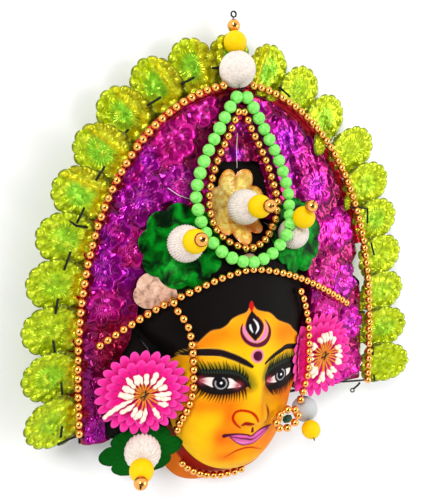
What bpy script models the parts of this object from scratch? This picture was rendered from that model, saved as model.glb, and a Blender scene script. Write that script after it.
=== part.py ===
"""A chhau dance mask: a goddess face of painted papier-mache under an arched crown of foil flowers,
petals and bead strings. It lies on its back: +Z is the front, +Y the crown, +X the right side as one
faces the mask. Lengths in the functions are millimetres from the top of the arch of beads."""

import math

import bpy
import numpy as np

MM = 0.001

# Driving dimensions, in mm
ARCH_HALF_WIDTH = 105.5
ARCH_HEIGHT = 200.0
ARCH_SQUARENESS = (1.85, 2.7)
RIM_DEPTH = 26.0
BOARD_FRONT, BOARD_BACK = -7.5, -10.0
BOARD_INSET = 1.5
BOARD_END_LEFT, BOARD_END_RIGHT = -212.0, -204.0
GAP = 0.35
GOLD_BEAD, GOLD_PITCH = 5.0, 5.5
GREEN_BEAD, GREEN_PITCH = 7.4, 7.3
WHITE_BALL, YELLOW_BALL, GOLD_BALL = 22.0, 14.0, 8.0

# The face shell: its head's centre, its half sizes at the board, and at the rim it lies on
HEAD_Y = -178.0
NOSE_ROOT_Y = -200.0
FACE_LEFT, FACE_RIGHT = 49.5, 45.5
HAIR_LEFT, HAIR_RIGHT = 19.0, 6.0
JAW_TAPER = 4.0
FACE_BELOW, FACE_ABOVE = 72.0, 94.0
CHIN_SQUARENESS, HAIR_SQUARENESS = 2.1, 3.0
FACE_EDGE_Z = -8.0
FACE_RISE = 27.0
SHELL = 3.2

for old in list(bpy.data.objects):
    bpy.data.objects.remove(old)

arch_top = bpy.data.objects.new("ARCH_TOP", None)
bpy.context.scene.collection.objects.link(arch_top)
arch_top.location = (0.0, 110.1 * MM, RIM_DEPTH * MM)


def add_piece(name, points, faces, colour, roughness, metallic=0.0, smooth=True):
    """One closed mesh of its own, with its own material, hung on the arch's top."""
    points = np.asarray(points, float) * MM
    fans = [(f[0], f[i], f[i + 1]) for f in faces for i in range(1, len(f) - 1)]
    if sum(np.dot(points[a], np.cross(points[b], points[c])) for a, b, c in fans) < 0:
        faces = [f[::-1] for f in faces]
    mesh = bpy.data.meshes.new(name)
    mesh.from_pydata([tuple(p) for p in points], [], faces)
    mesh.validate()
    if smooth:
        mesh.shade_smooth()
        mesh.set_sharp_from_angle(angle=math.radians(40))
    material = bpy.data.materials.new(name)
    material.use_nodes = True
    shader = material.node_tree.nodes["Principled BSDF"]
    shader.inputs["Base Color"].default_value = (*colour, 1.0)
    shader.inputs["Roughness"].default_value = roughness
    shader.inputs["Metallic"].default_value = metallic
    mesh.materials.append(material)
    piece = bpy.data.objects.new(name, mesh)
    bpy.context.scene.collection.objects.link(piece)
    piece.parent = arch_top
    return piece


def boolean(piece, other, operation):
    """Cuts or joins with another mesh, which then only serves as a helper."""
    other.hide_render = True
    other.display_type = "WIRE"
    change = piece.modifiers.new(other.name, "BOOLEAN")
    change.operation = operation
    change.solver = "EXACT"
    change.object = other


def loft(rings, first=None, last=None, looped=False):
    """Points and faces of a closed body through rings of points, with a pole at each end or looped."""
    count = len(rings[0])
    points = [p for ring in rings for p in ring]
    faces = []
    for row in range(len(rings) - (not looped)):
        here, there = row * count, (row + 1) % len(rings) * count
        for i in range(count):
            j = (i + 1) % count
            faces.append((here + i, here + j, there + j, there + i))
    if first is not None:
        points.append(first)
        faces += [(len(points) - 1, (i + 1) % count, i) for i in range(count)]
    if last is not None:
        points.append(last)
        base = (len(rings) - 1) * count
        faces += [(len(points) - 1, base + i, base + (i + 1) % count) for i in range(count)]
    return points, faces


# Curves

def smooth_step(t):
    t = np.clip(t, 0.0, 1.0)
    return t * t * (3.0 - 2.0 * t)


class Path:
    """A smooth curve through chosen points, read by its length along itself."""

    def __init__(self, points, closed=False, fine=12):
        points = np.asarray(points, float)
        if closed:
            points = np.vstack([points[-1], points, points[:2]])
        else:
            points = np.vstack([2 * points[0] - points[1], points, 2 * points[-1] - points[-2]])
        samples = []
        for a, b, c, d in zip(points, points[1:], points[2:], points[3:]):
            for t in np.arange(fine) / fine:
                samples.append(0.5 * (2 * b + (c - a) * t + (2 * a - 5 * b + 4 * c - d) * t**2
                                      + (3 * b - a - 3 * c + d) * t**3))
        samples.append(points[-2])
        self.samples = np.array(samples)
        steps = np.linalg.norm(np.diff(self.samples, axis=0), axis=1)
        self.lengths = np.append(0.0, np.cumsum(steps))
        self.length = self.lengths[-1]

    def at(self, s):
        return np.array([np.interp(s, self.lengths, column) for column in self.samples.T])


def arch_outline():
    """The right half of the line of beads, from its top down, and straight on below."""
    turn = np.linspace(0.0, math.pi / 2, 400)
    x = ARCH_HALF_WIDTH * np.sin(turn) ** (2 / ARCH_SQUARENESS[0])
    y = ARCH_HEIGHT * (np.cos(turn) ** (2 / ARCH_SQUARENESS[1]) - 1.0)
    x = np.append(x, ARCH_HALF_WIDTH)
    y = np.append(y, -ARCH_HEIGHT - 30.0)
    return np.stack([x, y], axis=1)


ARCH = arch_outline()
ARCH_RUN = np.append(0.0, np.cumsum(np.linalg.norm(np.diff(ARCH, axis=0), axis=1)))


def arch_at(s, outward=0.0):
    """A point on the line of beads, s along it from the top (negative to the left), and its outward way."""
    run = abs(s)
    side = -1.0 if s < 0 else 1.0
    here = np.array([np.interp(run, ARCH_RUN, ARCH[:, k]) for k in (0, 1)])
    ahead = np.array([np.interp(run + 0.5, ARCH_RUN, ARCH[:, k]) for k in (0, 1)])
    behind = np.array([np.interp(max(run - 0.5, 0.0), ARCH_RUN, ARCH[:, k]) for k in (0, 1)])
    along = (ahead - behind) / np.linalg.norm(ahead - behind)
    out = np.array([-along[1], along[0]])
    point = here + outward * out
    return np.array([side * point[0], point[1]]), np.array([side * out[0], out[1]])


# The face and the ground that everything lies on

def face_half_width(x, y):
    left = FACE_LEFT + HAIR_LEFT * smooth_step((y + 170.0) / 30.0)
    right = FACE_RIGHT + HAIR_RIGHT * smooth_step((y + 165.0) / 30.0)
    right = right - JAW_TAPER * smooth_step((-185.0 - y) / 18.0)
    return np.where(x < 0, left, right)


def face_reach(x, y):
    """0 at the head's centre and 1 at the face's edge."""
    below = y < HEAD_Y
    power = np.where(below, CHIN_SQUARENESS, HAIR_SQUARENESS)
    half_height = np.where(below, FACE_BELOW, FACE_ABOVE)
    across = (np.abs(x) / face_half_width(x, y)) ** power
    return (across + (np.abs(y - HEAD_Y) / half_height) ** power) ** (1.0 / power)


def rim_reach(x, y):
    left = 52.0 + 20.0 * smooth_step((y + 170.0) / 30.0)
    half_width = np.where(x < 0, left, np.where(y < HEAD_Y, 47.0, 53.0))
    below = y < HEAD_Y
    power = np.where(below, 3.4, 3.0)
    half_height = np.where(below, 87.0, 97.0)
    return ((np.abs(x) / half_width) ** power + (np.abs(y - HEAD_Y) / half_height) ** power) ** (1.0 / power)


def dome(x, y):
    """The shell's plain swelling, without its features."""
    reach = np.clip(face_reach(x, y), 0.0, 1.0)
    return FACE_EDGE_Z + FACE_RISE * np.sqrt(np.maximum(1.0 - reach**2.2, 0.0))


# Each swelling: across and up from the middle line, its half spans, its height, and whether it is paired
FEATURES = (
    (7.5, -205.5, 3.6, 4.0, 2.5),
    (21.0, -181.0, 11.0, 6.0, 1.5),
    (20.0, -161.0, 13.0, 5.0, 1.2),
    (24.0, -203.0, 12.0, 12.0, 1.2),
    (0.0, -217.5, 12.0, 6.0, 3.2),
    (0.0, -236.0, 11.0, 7.0, 3.0),
)
NOSE_Y = (-216, -211, -207, -203, -195, -180, -166, -155, -145)
NOSE_HEIGHT = (0.0, 2.0, 7.5, 9.5, 8.0, 5.5, 5.5, 2.5, 0.0)
NOSE_WIDTH = (7.0, 7.0, 7.0, 6.5, 5.5, 5.5, 9.0, 10.0, 10.0)


def face_z(x, y):
    """The front of the face: brow, eyes, nose, cheeks, lips and chin on the dome."""
    z = dome(x, y)
    z = z + np.interp(y, NOSE_Y, NOSE_HEIGHT) * np.exp(-((x / np.interp(y, NOSE_Y, NOSE_WIDTH)) ** 2))
    for across, up, wide, high, height in FEATURES:
        z = z + height * np.exp(-(((np.abs(x) - across) / wide) ** 2) - ((y - up) / high) ** 2)
    return z


def edge_at(angle, is_inside, centre_y=HEAD_Y):
    """The point where a ray from the head's middle line leaves a region."""
    way = np.array([math.cos(angle), math.sin(angle)])
    centre = np.array([0.0, centre_y])
    near, far = 0.0, 300.0
    for _ in range(30):
        middle = 0.5 * (near + far)
        if is_inside(*(centre + middle * way)):
            near = middle
        else:
            far = middle
    return centre + near * way


def in_face(x, y):
    return face_reach(x, y) < 1.0


def in_rim(x, y):
    return rim_reach(x, y) < 1.0


def in_arch(x, y, inset):
    """Inside the line of beads by a distance."""
    if y > -inset:
        return False
    width = np.interp(-y, -ARCH[:, 1], ARCH[:, 0])
    slope = np.interp(-y + 0.5, -ARCH[:, 1], ARCH[:, 0]) - np.interp(-y - 0.5, -ARCH[:, 1], ARCH[:, 0])
    return abs(x) < width - inset * math.hypot(1.0, slope)


ANGLES = np.radians(np.arange(0.0, 360.0, 2.0))
FACE_EDGE, ARCH_EDGE = (
    np.array([np.linalg.norm(edge_at(a, region) - (0.0, HEAD_Y)) for a in ANGLES])
    for region in (in_face, lambda x, y: in_arch(x, y, 0.0))
)


FIELD_EDGE_Z = -3.2
FIELD_SWELL, FIELD_SWELL_RIGHT = 4.3, 4.5


def bed_z(x, y):
    """The ground for strings and flowers: the swell of the foil field, or the face where it is higher."""
    angle = math.atan2(y - HEAD_Y, x) % (2 * math.pi)
    face_edge = np.interp(angle, ANGLES, FACE_EDGE, period=2 * math.pi)
    arch_edge = np.interp(angle, ANGLES, ARCH_EDGE, period=2 * math.pi)
    out = np.clip((math.hypot(x, y - HEAD_Y) - face_edge) / (arch_edge - face_edge), 0.0, 1.0)
    rise = FIELD_SWELL + FIELD_SWELL_RIGHT * smooth_step((-y - 85.0) / 40.0) * smooth_step(x / 45.0)
    rise = rise * (1.0 - 0.7 * smooth_step((-y - 150.0) / 25.0))
    field = FIELD_EDGE_Z + rise * (1.0 - out) ** 1.3
    inside = face_reach(x, y) < 1.0
    return float(max(field, face_z(x, y) if inside else -100.0))


# Bead strings

def sweep(stations, sides=4, looped=False):
    """A tube through (point, radius) stations."""
    centres = np.array([p for p, _ in stations])
    count = len(stations)
    rings = []
    for i, (centre, radius) in enumerate(stations):
        ahead = centres[(i + 1) % count] if looped else centres[min(i + 1, count - 1)]
        behind = centres[i - 1] if looped else centres[max(i - 1, 0)]
        along = (ahead - behind) / np.linalg.norm(ahead - behind)
        side = np.cross(along, (0.0, 0.0, 1.0))
        side /= np.linalg.norm(side)
        up = np.cross(side, along)
        turns = [math.tau * (k + 0.5) / sides for k in range(sides)]
        rings.append([centre + radius * (math.cos(a) * side + math.sin(a) * up) for a in turns])
    if looped:
        return loft(rings, looped=True)
    return loft(rings, centres[0], centres[-1])


# Radii of the string's sections, as shares of a bead's diameter
THREAD_SHARE, BEAD_SHARE = 0.19, 0.56


def beads_along(point_at, start, end, bead, pitch, looped=False):
    """Stations of a string of beads between two lengths along a path: full at each bead, thin between."""
    count = max(1, round((end - start) / pitch))
    step = (end - start) / count
    stations = []
    for i in range(count):
        stations.append((point_at(start + i * step), THREAD_SHARE * bead))
        stations.append((point_at(start + (i + 0.5) * step), BEAD_SHARE * bead))
    if not looped:
        stations.append((point_at(end), THREAD_SHARE * bead))
    return stations


GOLD = (0.72, 0.40, 0.09)


def add_gold_string(name, stations, looped=False):
    return add_piece(name, *sweep(stations, looped=looped), GOLD, 0.3, 0.9)


def gold_beads(path, looped=False):
    return beads_along(path.at, 0.0, path.length, GOLD_BEAD, GOLD_PITCH, looped)


# Flowers

def flower(centre, half_sizes, lobes, tooth, profile, tilt=(0.0, 0.0), ground=None, turn=0.0,
           flat_back=False):
    """A lobed disc, thin at its edge and thicker inside. profile holds (share of radius, front height)
    rings from the edge in; ground, if any, keeps its back off what it lies on."""
    cx, cy, cz = centre
    count = 2 * lobes

    def corner(share, i, wave):
        angle = turn + math.tau * i / count
        reach = share * (1.0 - (tooth * wave if i % 2 else 0.0))
        return cx + half_sizes[0] * reach * math.cos(angle), cy + half_sizes[1] * reach * math.sin(angle)

    def base(x, y):
        plane = cz + tilt[0] * (x - cx) + tilt[1] * (y - cy)
        return plane if ground is None else max(plane, ground(x, y) + GAP)

    fronts, backs = [], []
    for share, front in profile:
        ring = [corner(share, i, 1.0 if share == 1.0 else 0.5) for i in range(count)]
        fronts.append([(x, y, base(x, y) + front) for x, y in ring])
        backs.append([(x, y, base(x, y)) for x, y in ring])
    front_pole = (cx, cy, base(cx, cy) + profile[-1][1])
    back_pole = (cx, cy, base(cx, cy))
    rings = fronts[::-1] + ([] if flat_back else backs[1:])
    return loft(rings, front_pole, back_pole)


# The papier-mache face with its hair, in one shell open at the back

FACE_SIDES = 28
FACE_RINGS = (0.09, 0.19, 0.29, 0.39, 0.49, 0.59, 0.70, 0.81, 0.91, 0.97)


def wall_at(angle, z, out=0.0):
    """A point of the flared wall between the face's edge and the rim, moved out by a distance."""
    top, foot = (edge_at(angle, region, NOSE_ROOT_Y) for region in (in_face, in_rim))
    share = (FACE_EDGE_Z - z) / (FACE_EDGE_Z + RIM_DEPTH)
    way = np.array([math.cos(angle), math.sin(angle)])
    return top + share * (foot - top) + out * way


def add_face_mask():
    middle = np.array([0.0, NOSE_ROOT_Y])
    angles = [math.tau * i / FACE_SIDES for i in range(FACE_SIDES)]
    edge = [edge_at(a, in_face, NOSE_ROOT_Y) for a in angles]

    def front(share):
        ring = [middle + share * (e - middle) for e in edge]
        return [(x, y, float(face_z(x, y))) for x, y in ring]

    def back(share):
        ring = [middle + share * (e - middle) for e in edge]
        points = []
        for x, y in ring:
            lean = np.array([dome(x + 1, y) - dome(x - 1, y), dome(x, y + 1) - dome(x, y - 1), -2.0])
            lean = lean / np.linalg.norm(lean)
            points.append(tuple(np.array([x, y, float(dome(x, y))]) + SHELL * lean))
        return points

    def wall(z, out):
        return [(*wall_at(a, z, out), z) for a in angles]

    rings = [front(share) for share in FACE_RINGS] + [[(x, y, FACE_EDGE_Z) for x, y in edge]]
    rings += [wall(0.5 * (FACE_EDGE_Z - RIM_DEPTH), 0.0), wall(-RIM_DEPTH, 0.0)]
    rings += [wall(-RIM_DEPTH, -SHELL), wall(FACE_EDGE_Z - SHELL, -SHELL)]
    rings += [back(share) for share in (0.88, 0.62, 0.32)]
    nose = (0.0, NOSE_ROOT_Y, float(face_z(0.0, NOSE_ROOT_Y)))
    inner = (0.0, NOSE_ROOT_Y, float(dome(0.0, NOSE_ROOT_Y)) - SHELL)
    return add_piece("face_mask", *loft(rings, nose, inner), (0.95, 0.48, 0.04), 0.35)


# The crown's board, its foil field and its wire

def in_board(x, y, inset):
    end = BOARD_END_LEFT if x < 0 else BOARD_END_RIGHT
    return in_arch(x, y, inset) and y > end


def crown_angles(first_x, last_x, inset, left_steps, top_steps, right_steps):
    """Rays from the head's centre round the crown, from the left end over the top to the right end."""
    left_end = math.atan2(BOARD_END_LEFT - HEAD_Y, first_x) % math.tau
    left_corner = math.atan2(BOARD_END_LEFT - HEAD_Y, inset - ARCH_HALF_WIDTH) % math.tau
    right_corner = math.atan2(BOARD_END_RIGHT - HEAD_Y, ARCH_HALF_WIDTH - inset)
    right_end = math.atan2(BOARD_END_RIGHT - HEAD_Y, last_x)
    legs = ((left_end, left_corner, left_steps), (left_corner, right_corner, top_steps),
            (right_corner, right_end, right_steps))
    angles = [left_end]
    for start, end, steps in legs:
        angles += list(np.linspace(start, end, steps + 1)[1:])
    return angles


BOARD_FIRST_X, BOARD_LAST_X = -51.0, 49.0
BOARD_CLEARANCE = 1.2
TEMPLE_Y, TEMPLE_CLEARANCE = -160.0, 5.5


def add_crown_board():
    sections = []
    for angle in crown_angles(BOARD_FIRST_X, BOARD_LAST_X, BOARD_INSET, 2, 26, 2):
        outer = edge_at(angle, lambda x, y: in_board(x, y, BOARD_INSET))
        way = np.array([math.cos(angle), math.sin(angle)])
        top = edge_at(angle, in_face)
        foot = edge_at(angle, in_rim)
        share = (FACE_EDGE_Z - BOARD_BACK) / (FACE_EDGE_Z + RIM_DEPTH)
        at_temple = math.exp(-(((top[1] - TEMPLE_Y) / 15.0) ** 2)) if top[0] < 0 else 0.0
        inner = top + share * (foot - top) + (BOARD_CLEARANCE + TEMPLE_CLEARANCE * at_temple) * way
        if np.dot(outer - inner, way) < 1.0:
            inner = outer - 1.0 * way
        front = [(*outer, BOARD_FRONT), (*inner, BOARD_FRONT)]
        sections.append(front + [(*inner, BOARD_BACK), (*outer, BOARD_BACK)])
    ends = [tuple(np.mean(section, axis=0)) for section in (sections[0], sections[-1])]
    return add_piece("crown_board", *loft(sections, *ends), (0.02, 0.016, 0.014), 0.6, smooth=False)


def prism(name, outline, low, high):
    """A straight prism, used to cut."""
    rings = [[(x, y, z) for x, y in outline] for z in (low, high)]
    middle = np.mean(outline, axis=0)
    return add_piece(name, *loft(rings, (*middle, low), (*middle, high)), (0.5, 0.5, 0.5), 0.5, smooth=False)


FIELD_INSET = 4.3
FIELD_FLOOR = BOARD_FRONT + GAP
FIELD_ROWS = 6
FOLD_DEPTH = 1.6
FIELD_FIRST_X, FIELD_LAST_X = -90.0, 62.0


def in_dark_side(x, y):
    """The bare black board beside the hair on the left, which no flower covers."""
    return x < 0 and y < -140.0 and x > -88.0 + 18.0 * smooth_step((y + 182.0) / 36.0)


def add_foil_field():
    """A bed of foil flowers in staggered rows: each flower's middle stands above the folds between."""
    sections = []
    for column, angle in enumerate(crown_angles(FIELD_FIRST_X, FIELD_LAST_X, FIELD_INSET, 1, 32, 1)):
        outer = edge_at(angle, lambda x, y: in_board(x, y, FIELD_INSET))
        way = np.array([math.cos(angle), math.sin(angle)])
        inner = edge_at(angle, lambda x, y: in_face(x, y) or in_dark_side(x, y)) + 0.8 * way
        if np.dot(outer - inner, way) < 4.0:
            inner = outer - 4.0 * way
        top = []
        for row in range(FIELD_ROWS + 1):
            x, y = outer + row / FIELD_ROWS * (inner - outer)
            is_middle = row % 2 == 1 and (column + row // 2) % 2 == 0
            top.append((x, y, bed_z(x, y) - (0.0 if is_middle else FOLD_DEPTH)))
        sections.append(top + [(*inner, FIELD_FLOOR), (*outer, FIELD_FLOOR)])
    ends = [tuple(np.mean(section, axis=0)) for section in (sections[0], sections[-1])]
    colour = (0.55, 0.0, 0.35)
    return add_piece("magenta_foil_flowers", *loft(sections, *ends), colour, 0.25, 0.6, smooth=False)


# Routes of the strings over the ground: a drop's is its right half, the right side's holds its heights

GREEN_DROP = ((0, -7), (4.4, -8.4), (10.4, -17.7), (16.8, -29), (23.2, -40), (28.5, -52), (31.9, -65),
              (31.2, -76), (27.5, -87), (21.0, -97), (12.5, -103.2), (0, -106.2))
GOLD_DROP = ((0, -14.6), (2.6, -17.2), (7, -26.7), (12.2, -36.3), (17.1, -46), (20.9, -56.5), (23.4, -67),
             (22.9, -79), (18.7, -88), (11.5, -94.8), (0, -98.4))
SIDE_LEFT = ((-50.1, -129.8), (-47.6, -133.6), (-44.4, -138), (-42.6, -143.6), (-41.2, -151), (-39.6, -160.5),
             (-38.6, -172), (-39.1, -182.8), (-41.2, -193.6), (-43.6, -202.8), (-44.6, -209), (-45.0, -213.4))
SIDE_RIGHT = ((36.4, -126.4, 12.4), (40.3, -134.6, 12), (43.4, -143, 10.3), (46.3, -152.2, 9),
              (47.5, -163.5, 8.2), (48.0, -175.5, 8), (47.5, -186.5, 8), (45.5, -194.5, 8), (43.0, -203, 8),
              (41.2, -207.2, 8))
SIDE_LIFT = 1.6
HAIRLINE_LEFT, HAIRLINE_RIGHT = -94.0, 83.0
ARCH_BEADS_LEFT, ARCH_GAP_LEFT = -254.0, -9.25
ARCH_GAP_RIGHT, ARCH_BEADS_RIGHT = 5.75, 256.0
ARCH_THREAD = ((-4.0, -3.4, -2.6), (1.0, -3.4, -2.6))
CHIN_STRING_Z = -12.0
CHIN_FROM, CHIN_TO = 227.0, 281.0
RIGHT_BALL = (34.8, -91.8, 6.9)
RIGHT_BALL_SIZE, SMALL_BALL = 20.0, 18.0
RIDE_X, RIDE_Y, RIDE_UP, RIDE_LEFT = 25.0, -88.5, 10.2, 2.4


def both_sides(points):
    """A closed route from its right half, which starts and ends on the middle line."""
    return list(points) + [(-x, y) for x, y in points[-2:0:-1]]


def drop_path(points, bead):
    """A drop's closed route. It lies over the green flowers, and the green one rides over the right-hand
    ball, which it half covers."""
    route = []
    for x, y in both_sides(points):
        over_flowers = 2.2 * float(smooth_step((-y - 62.0) / 10.0))
        by_ball = math.exp(-(((x - RIDE_X) / 8.0) ** 2) - ((y - RIDE_Y) / 10.0) ** 2)
        by_ball *= bead == GREEN_BEAD
        z = bed_z(x, y) + 0.5 * bead + GAP + over_flowers
        route.append((x - RIDE_LEFT * by_ball, y, z + RIDE_UP * by_ball))
    return Path(route, closed=True)


def hairline_point(x):
    away = abs(x) / 94.0
    y = -111.0 - 40.7 * away**1.6
    z = max(14.6 - 14.2 * away**1.8, bed_z(x, y) + 0.5 * GOLD_BEAD + GAP)
    return (x, y, z)


def add_strings():
    def arch_bead(s):
        return np.array([*arch_at(s)[0], 0.0])

    left = beads_along(arch_bead, ARCH_BEADS_LEFT, ARCH_GAP_LEFT, GOLD_BEAD, GOLD_PITCH)
    right = beads_along(arch_bead, ARCH_GAP_RIGHT, ARCH_BEADS_RIGHT, GOLD_BEAD, GOLD_PITCH)
    thread = [(np.array(point), 0.7) for point in ARCH_THREAD]
    add_gold_string("gold_arch_beads", left + thread + right)

    hairline = Path([hairline_point(x) for x in np.linspace(HAIRLINE_LEFT, HAIRLINE_RIGHT, 24)])
    add_gold_string("gold_hairline_beads", gold_beads(hairline))

    lift = 0.5 * GOLD_BEAD + GAP + SIDE_LIFT
    side = Path([(x, y, bed_z(x, y) + lift) for x, y in SIDE_LEFT])
    add_gold_string("gold_side_beads_left", gold_beads(side))
    add_gold_string("gold_side_beads_right", gold_beads(Path(SIDE_RIGHT)))

    green = drop_path(GREEN_DROP, GREEN_BEAD)
    stations = beads_along(green.at, 0.0, green.length, GREEN_BEAD, GREEN_PITCH, looped=True)
    add_piece("green_teardrop_beads", *sweep(stations, looped=True), (0.16, 0.75, 0.12), 0.3)
    gold = drop_path(GOLD_DROP, GOLD_BEAD)
    add_gold_string("gold_teardrop_beads", gold_beads(gold, looped=True), looped=True)

    out = 0.5 * GOLD_BEAD + GAP + 1.2
    angles = np.radians(np.linspace(CHIN_FROM, CHIN_TO, 9))
    chin = Path([(*wall_at(a, CHIN_STRING_Z, out), CHIN_STRING_Z) for a in angles])
    add_gold_string("gold_chin_beads", gold_beads(chin))


# Balls threaded on the pins

def ball(centre, diameter, sides, rows):
    radius = 0.5 * diameter
    centre = np.array(centre, float)
    rings = []
    for row in range(1, rows):
        fall = math.pi * row / rows
        turns = [math.tau * (i + 0.5 * (row % 2)) / sides for i in range(sides)]
        wide, up = radius * math.sin(fall), radius * math.cos(fall)
        rings.append([centre + (wide * math.cos(a), wide * math.sin(a), up) for a in turns])
    return loft(rings, centre + (0, 0, radius), centre - (0, 0, radius))


def add_pin(name, centre, way, white=WHITE_BALL, with_gold=True):
    """A white ball, a yellow one and a gold bead, one beyond the other along the pin's way."""
    way = np.array(way, float) / np.linalg.norm(way)
    centre = np.array(centre, float)
    add_piece(name + "_white_ball", *ball(centre, white, 9, 6), (0.9, 0.85, 0.83), 0.4)
    step = 0.5 * (white + YELLOW_BALL) + GAP
    add_piece(name + "_yellow_ball", *ball(centre + step * way, YELLOW_BALL, 8, 4), (1.0, 0.8, 0.0), 0.35)
    if with_gold:
        step += 0.5 * (YELLOW_BALL + GOLD_BALL) + GAP
        add_piece(name + "_gold_bead", *ball(centre + step * way, GOLD_BALL, 6, 4), GOLD, 0.3, 0.9)


# The petals round the crown

PETAL_OUT = 15.0
PETAL_HALF_LENGTH, PETAL_HALF_WIDTH = 17.0, 15.2
PETAL_LOBES = 14
PETAL_END_S = 242.0
FRONT_PETALS = 7
BEAD_LINE_Z = -5.0
PETAL_LEANS = (0.33, 0.2, 0.1, 0.1, 0.13, 0.16, 0.12)
BEHIND_Z = (-12.6, -13.1, -13.6)
TOP_Z = -16.2
PETAL_SIDE_SLOPE = 0.12


def petal_stops():
    """Ten even steps along a line outside the beads, as lengths along the beads themselves."""
    run = np.arange(0.0, PETAL_END_S + 0.1, 0.5)
    line = np.array([arch_at(max(s, 0.01), PETAL_OUT)[0] for s in run])
    length = np.append(0.0, np.cumsum(np.linalg.norm(np.diff(line, axis=0), axis=1)))
    return np.interp(np.linspace(0.0, length[-1], 11), length, run)


def add_petal(number, s, from_bottom):
    side = 0.0 if s == 0 else math.copysign(1.0, s)
    base, out = arch_at(s if s else 0.01)
    along = np.array([-out[1], out[0]])
    crownward = along * (1.0 if along[1] > 0 else -1.0) * abs(side)
    if from_bottom < FRONT_PETALS:
        lean = PETAL_LEANS[from_bottom]
        at_beads = BEAD_LINE_Z
    else:
        lean = 0.0
        at_beads = TOP_Z if s == 0 else BEHIND_Z[from_bottom - FRONT_PETALS]

    def place(share, turn, lift):
        radial = PETAL_OUT + share * PETAL_HALF_LENGTH * math.cos(turn)
        across = share * PETAL_HALF_WIDTH * math.sin(turn)
        x, y = base + radial * out + across * along
        z = at_beads + lean * radial + PETAL_SIDE_SLOPE * across * float(np.dot(crownward, along)) + lift
        return (x, y, z)

    count = 2 * PETAL_LOBES
    outline = [place(1.0 if i % 2 == 0 else 0.915, math.tau * i / count, 0.0) for i in range(count)]
    points, faces = loft([outline], place(0.0, 0.0, 1.1), place(0.0, 0.0, -0.6))
    add_piece(f"foil_petal_{number:02d}", points, faces, (0.45, 0.62, 0.03), 0.25, 0.3, smooth=False)


def add_petals():
    stops = petal_stops()
    for i in range(21):
        step = i - 10
        s = float(np.sign(step) * stops[abs(step)])
        add_petal(i + 1, s, 10 - abs(step))


# Wires

WIRE_RADIUS, WIRE_INSET = 1.0, 8.0
WIRE_LEFT_Y, WIRE_RIGHT_Y = -214.5, -206.5
LOOP_CENTRE = (1.1, 42.7, -12.3)
LOOP_RADIUS, LOOP_WIRE = 1.75, 0.6


def tube(points, radius, steps, closed=False):
    path = Path(points, closed=closed)
    stops = np.linspace(0.0, path.length, steps + 1)
    return sweep([(path.at(s), radius) for s in (stops[:-1] if closed else stops)], looped=closed)


def add_wires():
    back = BOARD_BACK - GAP - WIRE_RADIUS
    left_end = float(wall_at(math.atan2(WIRE_LEFT_Y - NOSE_ROOT_Y, -50.0), back)[0]) - 1.6
    route = [(left_end, WIRE_LEFT_Y, back), (-70, WIRE_LEFT_Y, back), (-90, WIRE_LEFT_Y, back)]
    for s in np.concatenate([np.linspace(-248, -20, 16), [0.01], np.linspace(20, 242, 16)]):
        route.append((*arch_at(s, -WIRE_INSET)[0], back))
    right_end = float(wall_at(math.atan2(WIRE_RIGHT_Y - NOSE_ROOT_Y, 45.0), back)[0]) + 1.6
    route += [(86, WIRE_RIGHT_Y, back), (68, WIRE_RIGHT_Y, back), (right_end, WIRE_RIGHT_Y, back)]
    add_piece("crown_wire", *tube(route, WIRE_RADIUS, 26), (0.03, 0.03, 0.03), 0.5, 0.6)

    x, y, z = LOOP_CENTRE
    turns = np.linspace(0, math.tau, 10)[:-1]
    ring = [(x + LOOP_RADIUS * math.cos(a), y + LOOP_RADIUS * math.sin(a), z) for a in turns]
    add_piece("hanging_loop", *tube(ring, LOOP_WIRE, 9, closed=True), (0.05, 0.05, 0.05), 0.4, 0.8)


# Flowers laid on the crown and at the ears

LAYER = 2.4
# Each ear flower: its side, centre, half sizes and tilt, then its stamens' shift across and half sizes
EAR_FLOWERS = (
    ("left", (-68.2, -181.4, 4.0), (27.8, 27.0), (0.22, 0.09), 0.0, (15.5, 14.0)),
    ("right", (59.5, -177.5, 0.8), (28.3, 30.0), (-0.05, 0.02), 3.5, (12.5, 14.0)),
)


def add_flowers():
    sheet = ((1.0, 0.5), (0.62, 1.7))
    green = (0.0, 0.16, 0.025)
    left = flower((-41.5, -95.2, -20.0), (26.0, 25.4), 8, 0.12, sheet, ground=bed_z, turn=0.2)
    add_piece("green_foil_flower_left", *left, green, 0.25, 0.6, smooth=False)
    right = flower((39.5, -93.8, -20.0), (21.0, 24.5), 8, 0.12, sheet, ground=bed_z, turn=0.2)
    nested = add_piece("green_foil_flower_right", *right, green, 0.25, 0.6, smooth=False)
    patch = flower((-64.0, -121.5, -20.0), (9.5, 10.0), 5, 0.14, ((1.0, 0.4), (0.5, 1.2)), ground=bed_z)
    add_piece("peach_cloth_patch", *patch, (0.85, 0.5, 0.32), 0.9)

    def amber_ground(x, y):
        return max(BOARD_FRONT, face_z(x, y)) if in_face(x, y) else BOARD_FRONT

    amber = flower((1.0, -71.2, -20.0), (16.0, 19.6), 8, 0.12, ((1.0, 0.3), (0.55, 1.6)), ground=amber_ground)
    add_piece("amber_flower", *amber, (0.9, 0.5, 0.05), 0.1)

    pink = (0.95, 0.04, 0.38)
    layers = ((1.0, 0.3), (0.72, LAYER), (0.5, 1.6))
    for side, centre, half, tilt, shift, threads_half in EAR_FLOWERS:
        body = flower(centre, half, 18, 0.1, layers, tilt, ground=bed_z, flat_back=True)
        add_piece("ear_flower_" + side, *body, pink, 0.7)
        middle = (centre[0] + shift, centre[1], centre[2] + LAYER + GAP)
        threads = ((1.0, 0.5), (0.66, 4.2), (0.3, 1.4))
        body = flower(middle, threads_half, 9, 0.22, threads, tilt, ground=over_flower, flat_back=True)
        add_piece("stamens_" + side, *body, (0.95, 0.85, 0.7), 0.5, smooth=False)

    leaf = flower((-66.0, -223.5, -5.5), (27.0, 16.0), 6, 0.14, ((1.0, 0.5), (0.55, 1.4)),
                  tilt=(0.05, 0.0), ground=leaf_ground)
    add_piece("ear_leaf_left", *leaf, (0.0, 0.1, 0.01), 0.9)
    return nested


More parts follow.
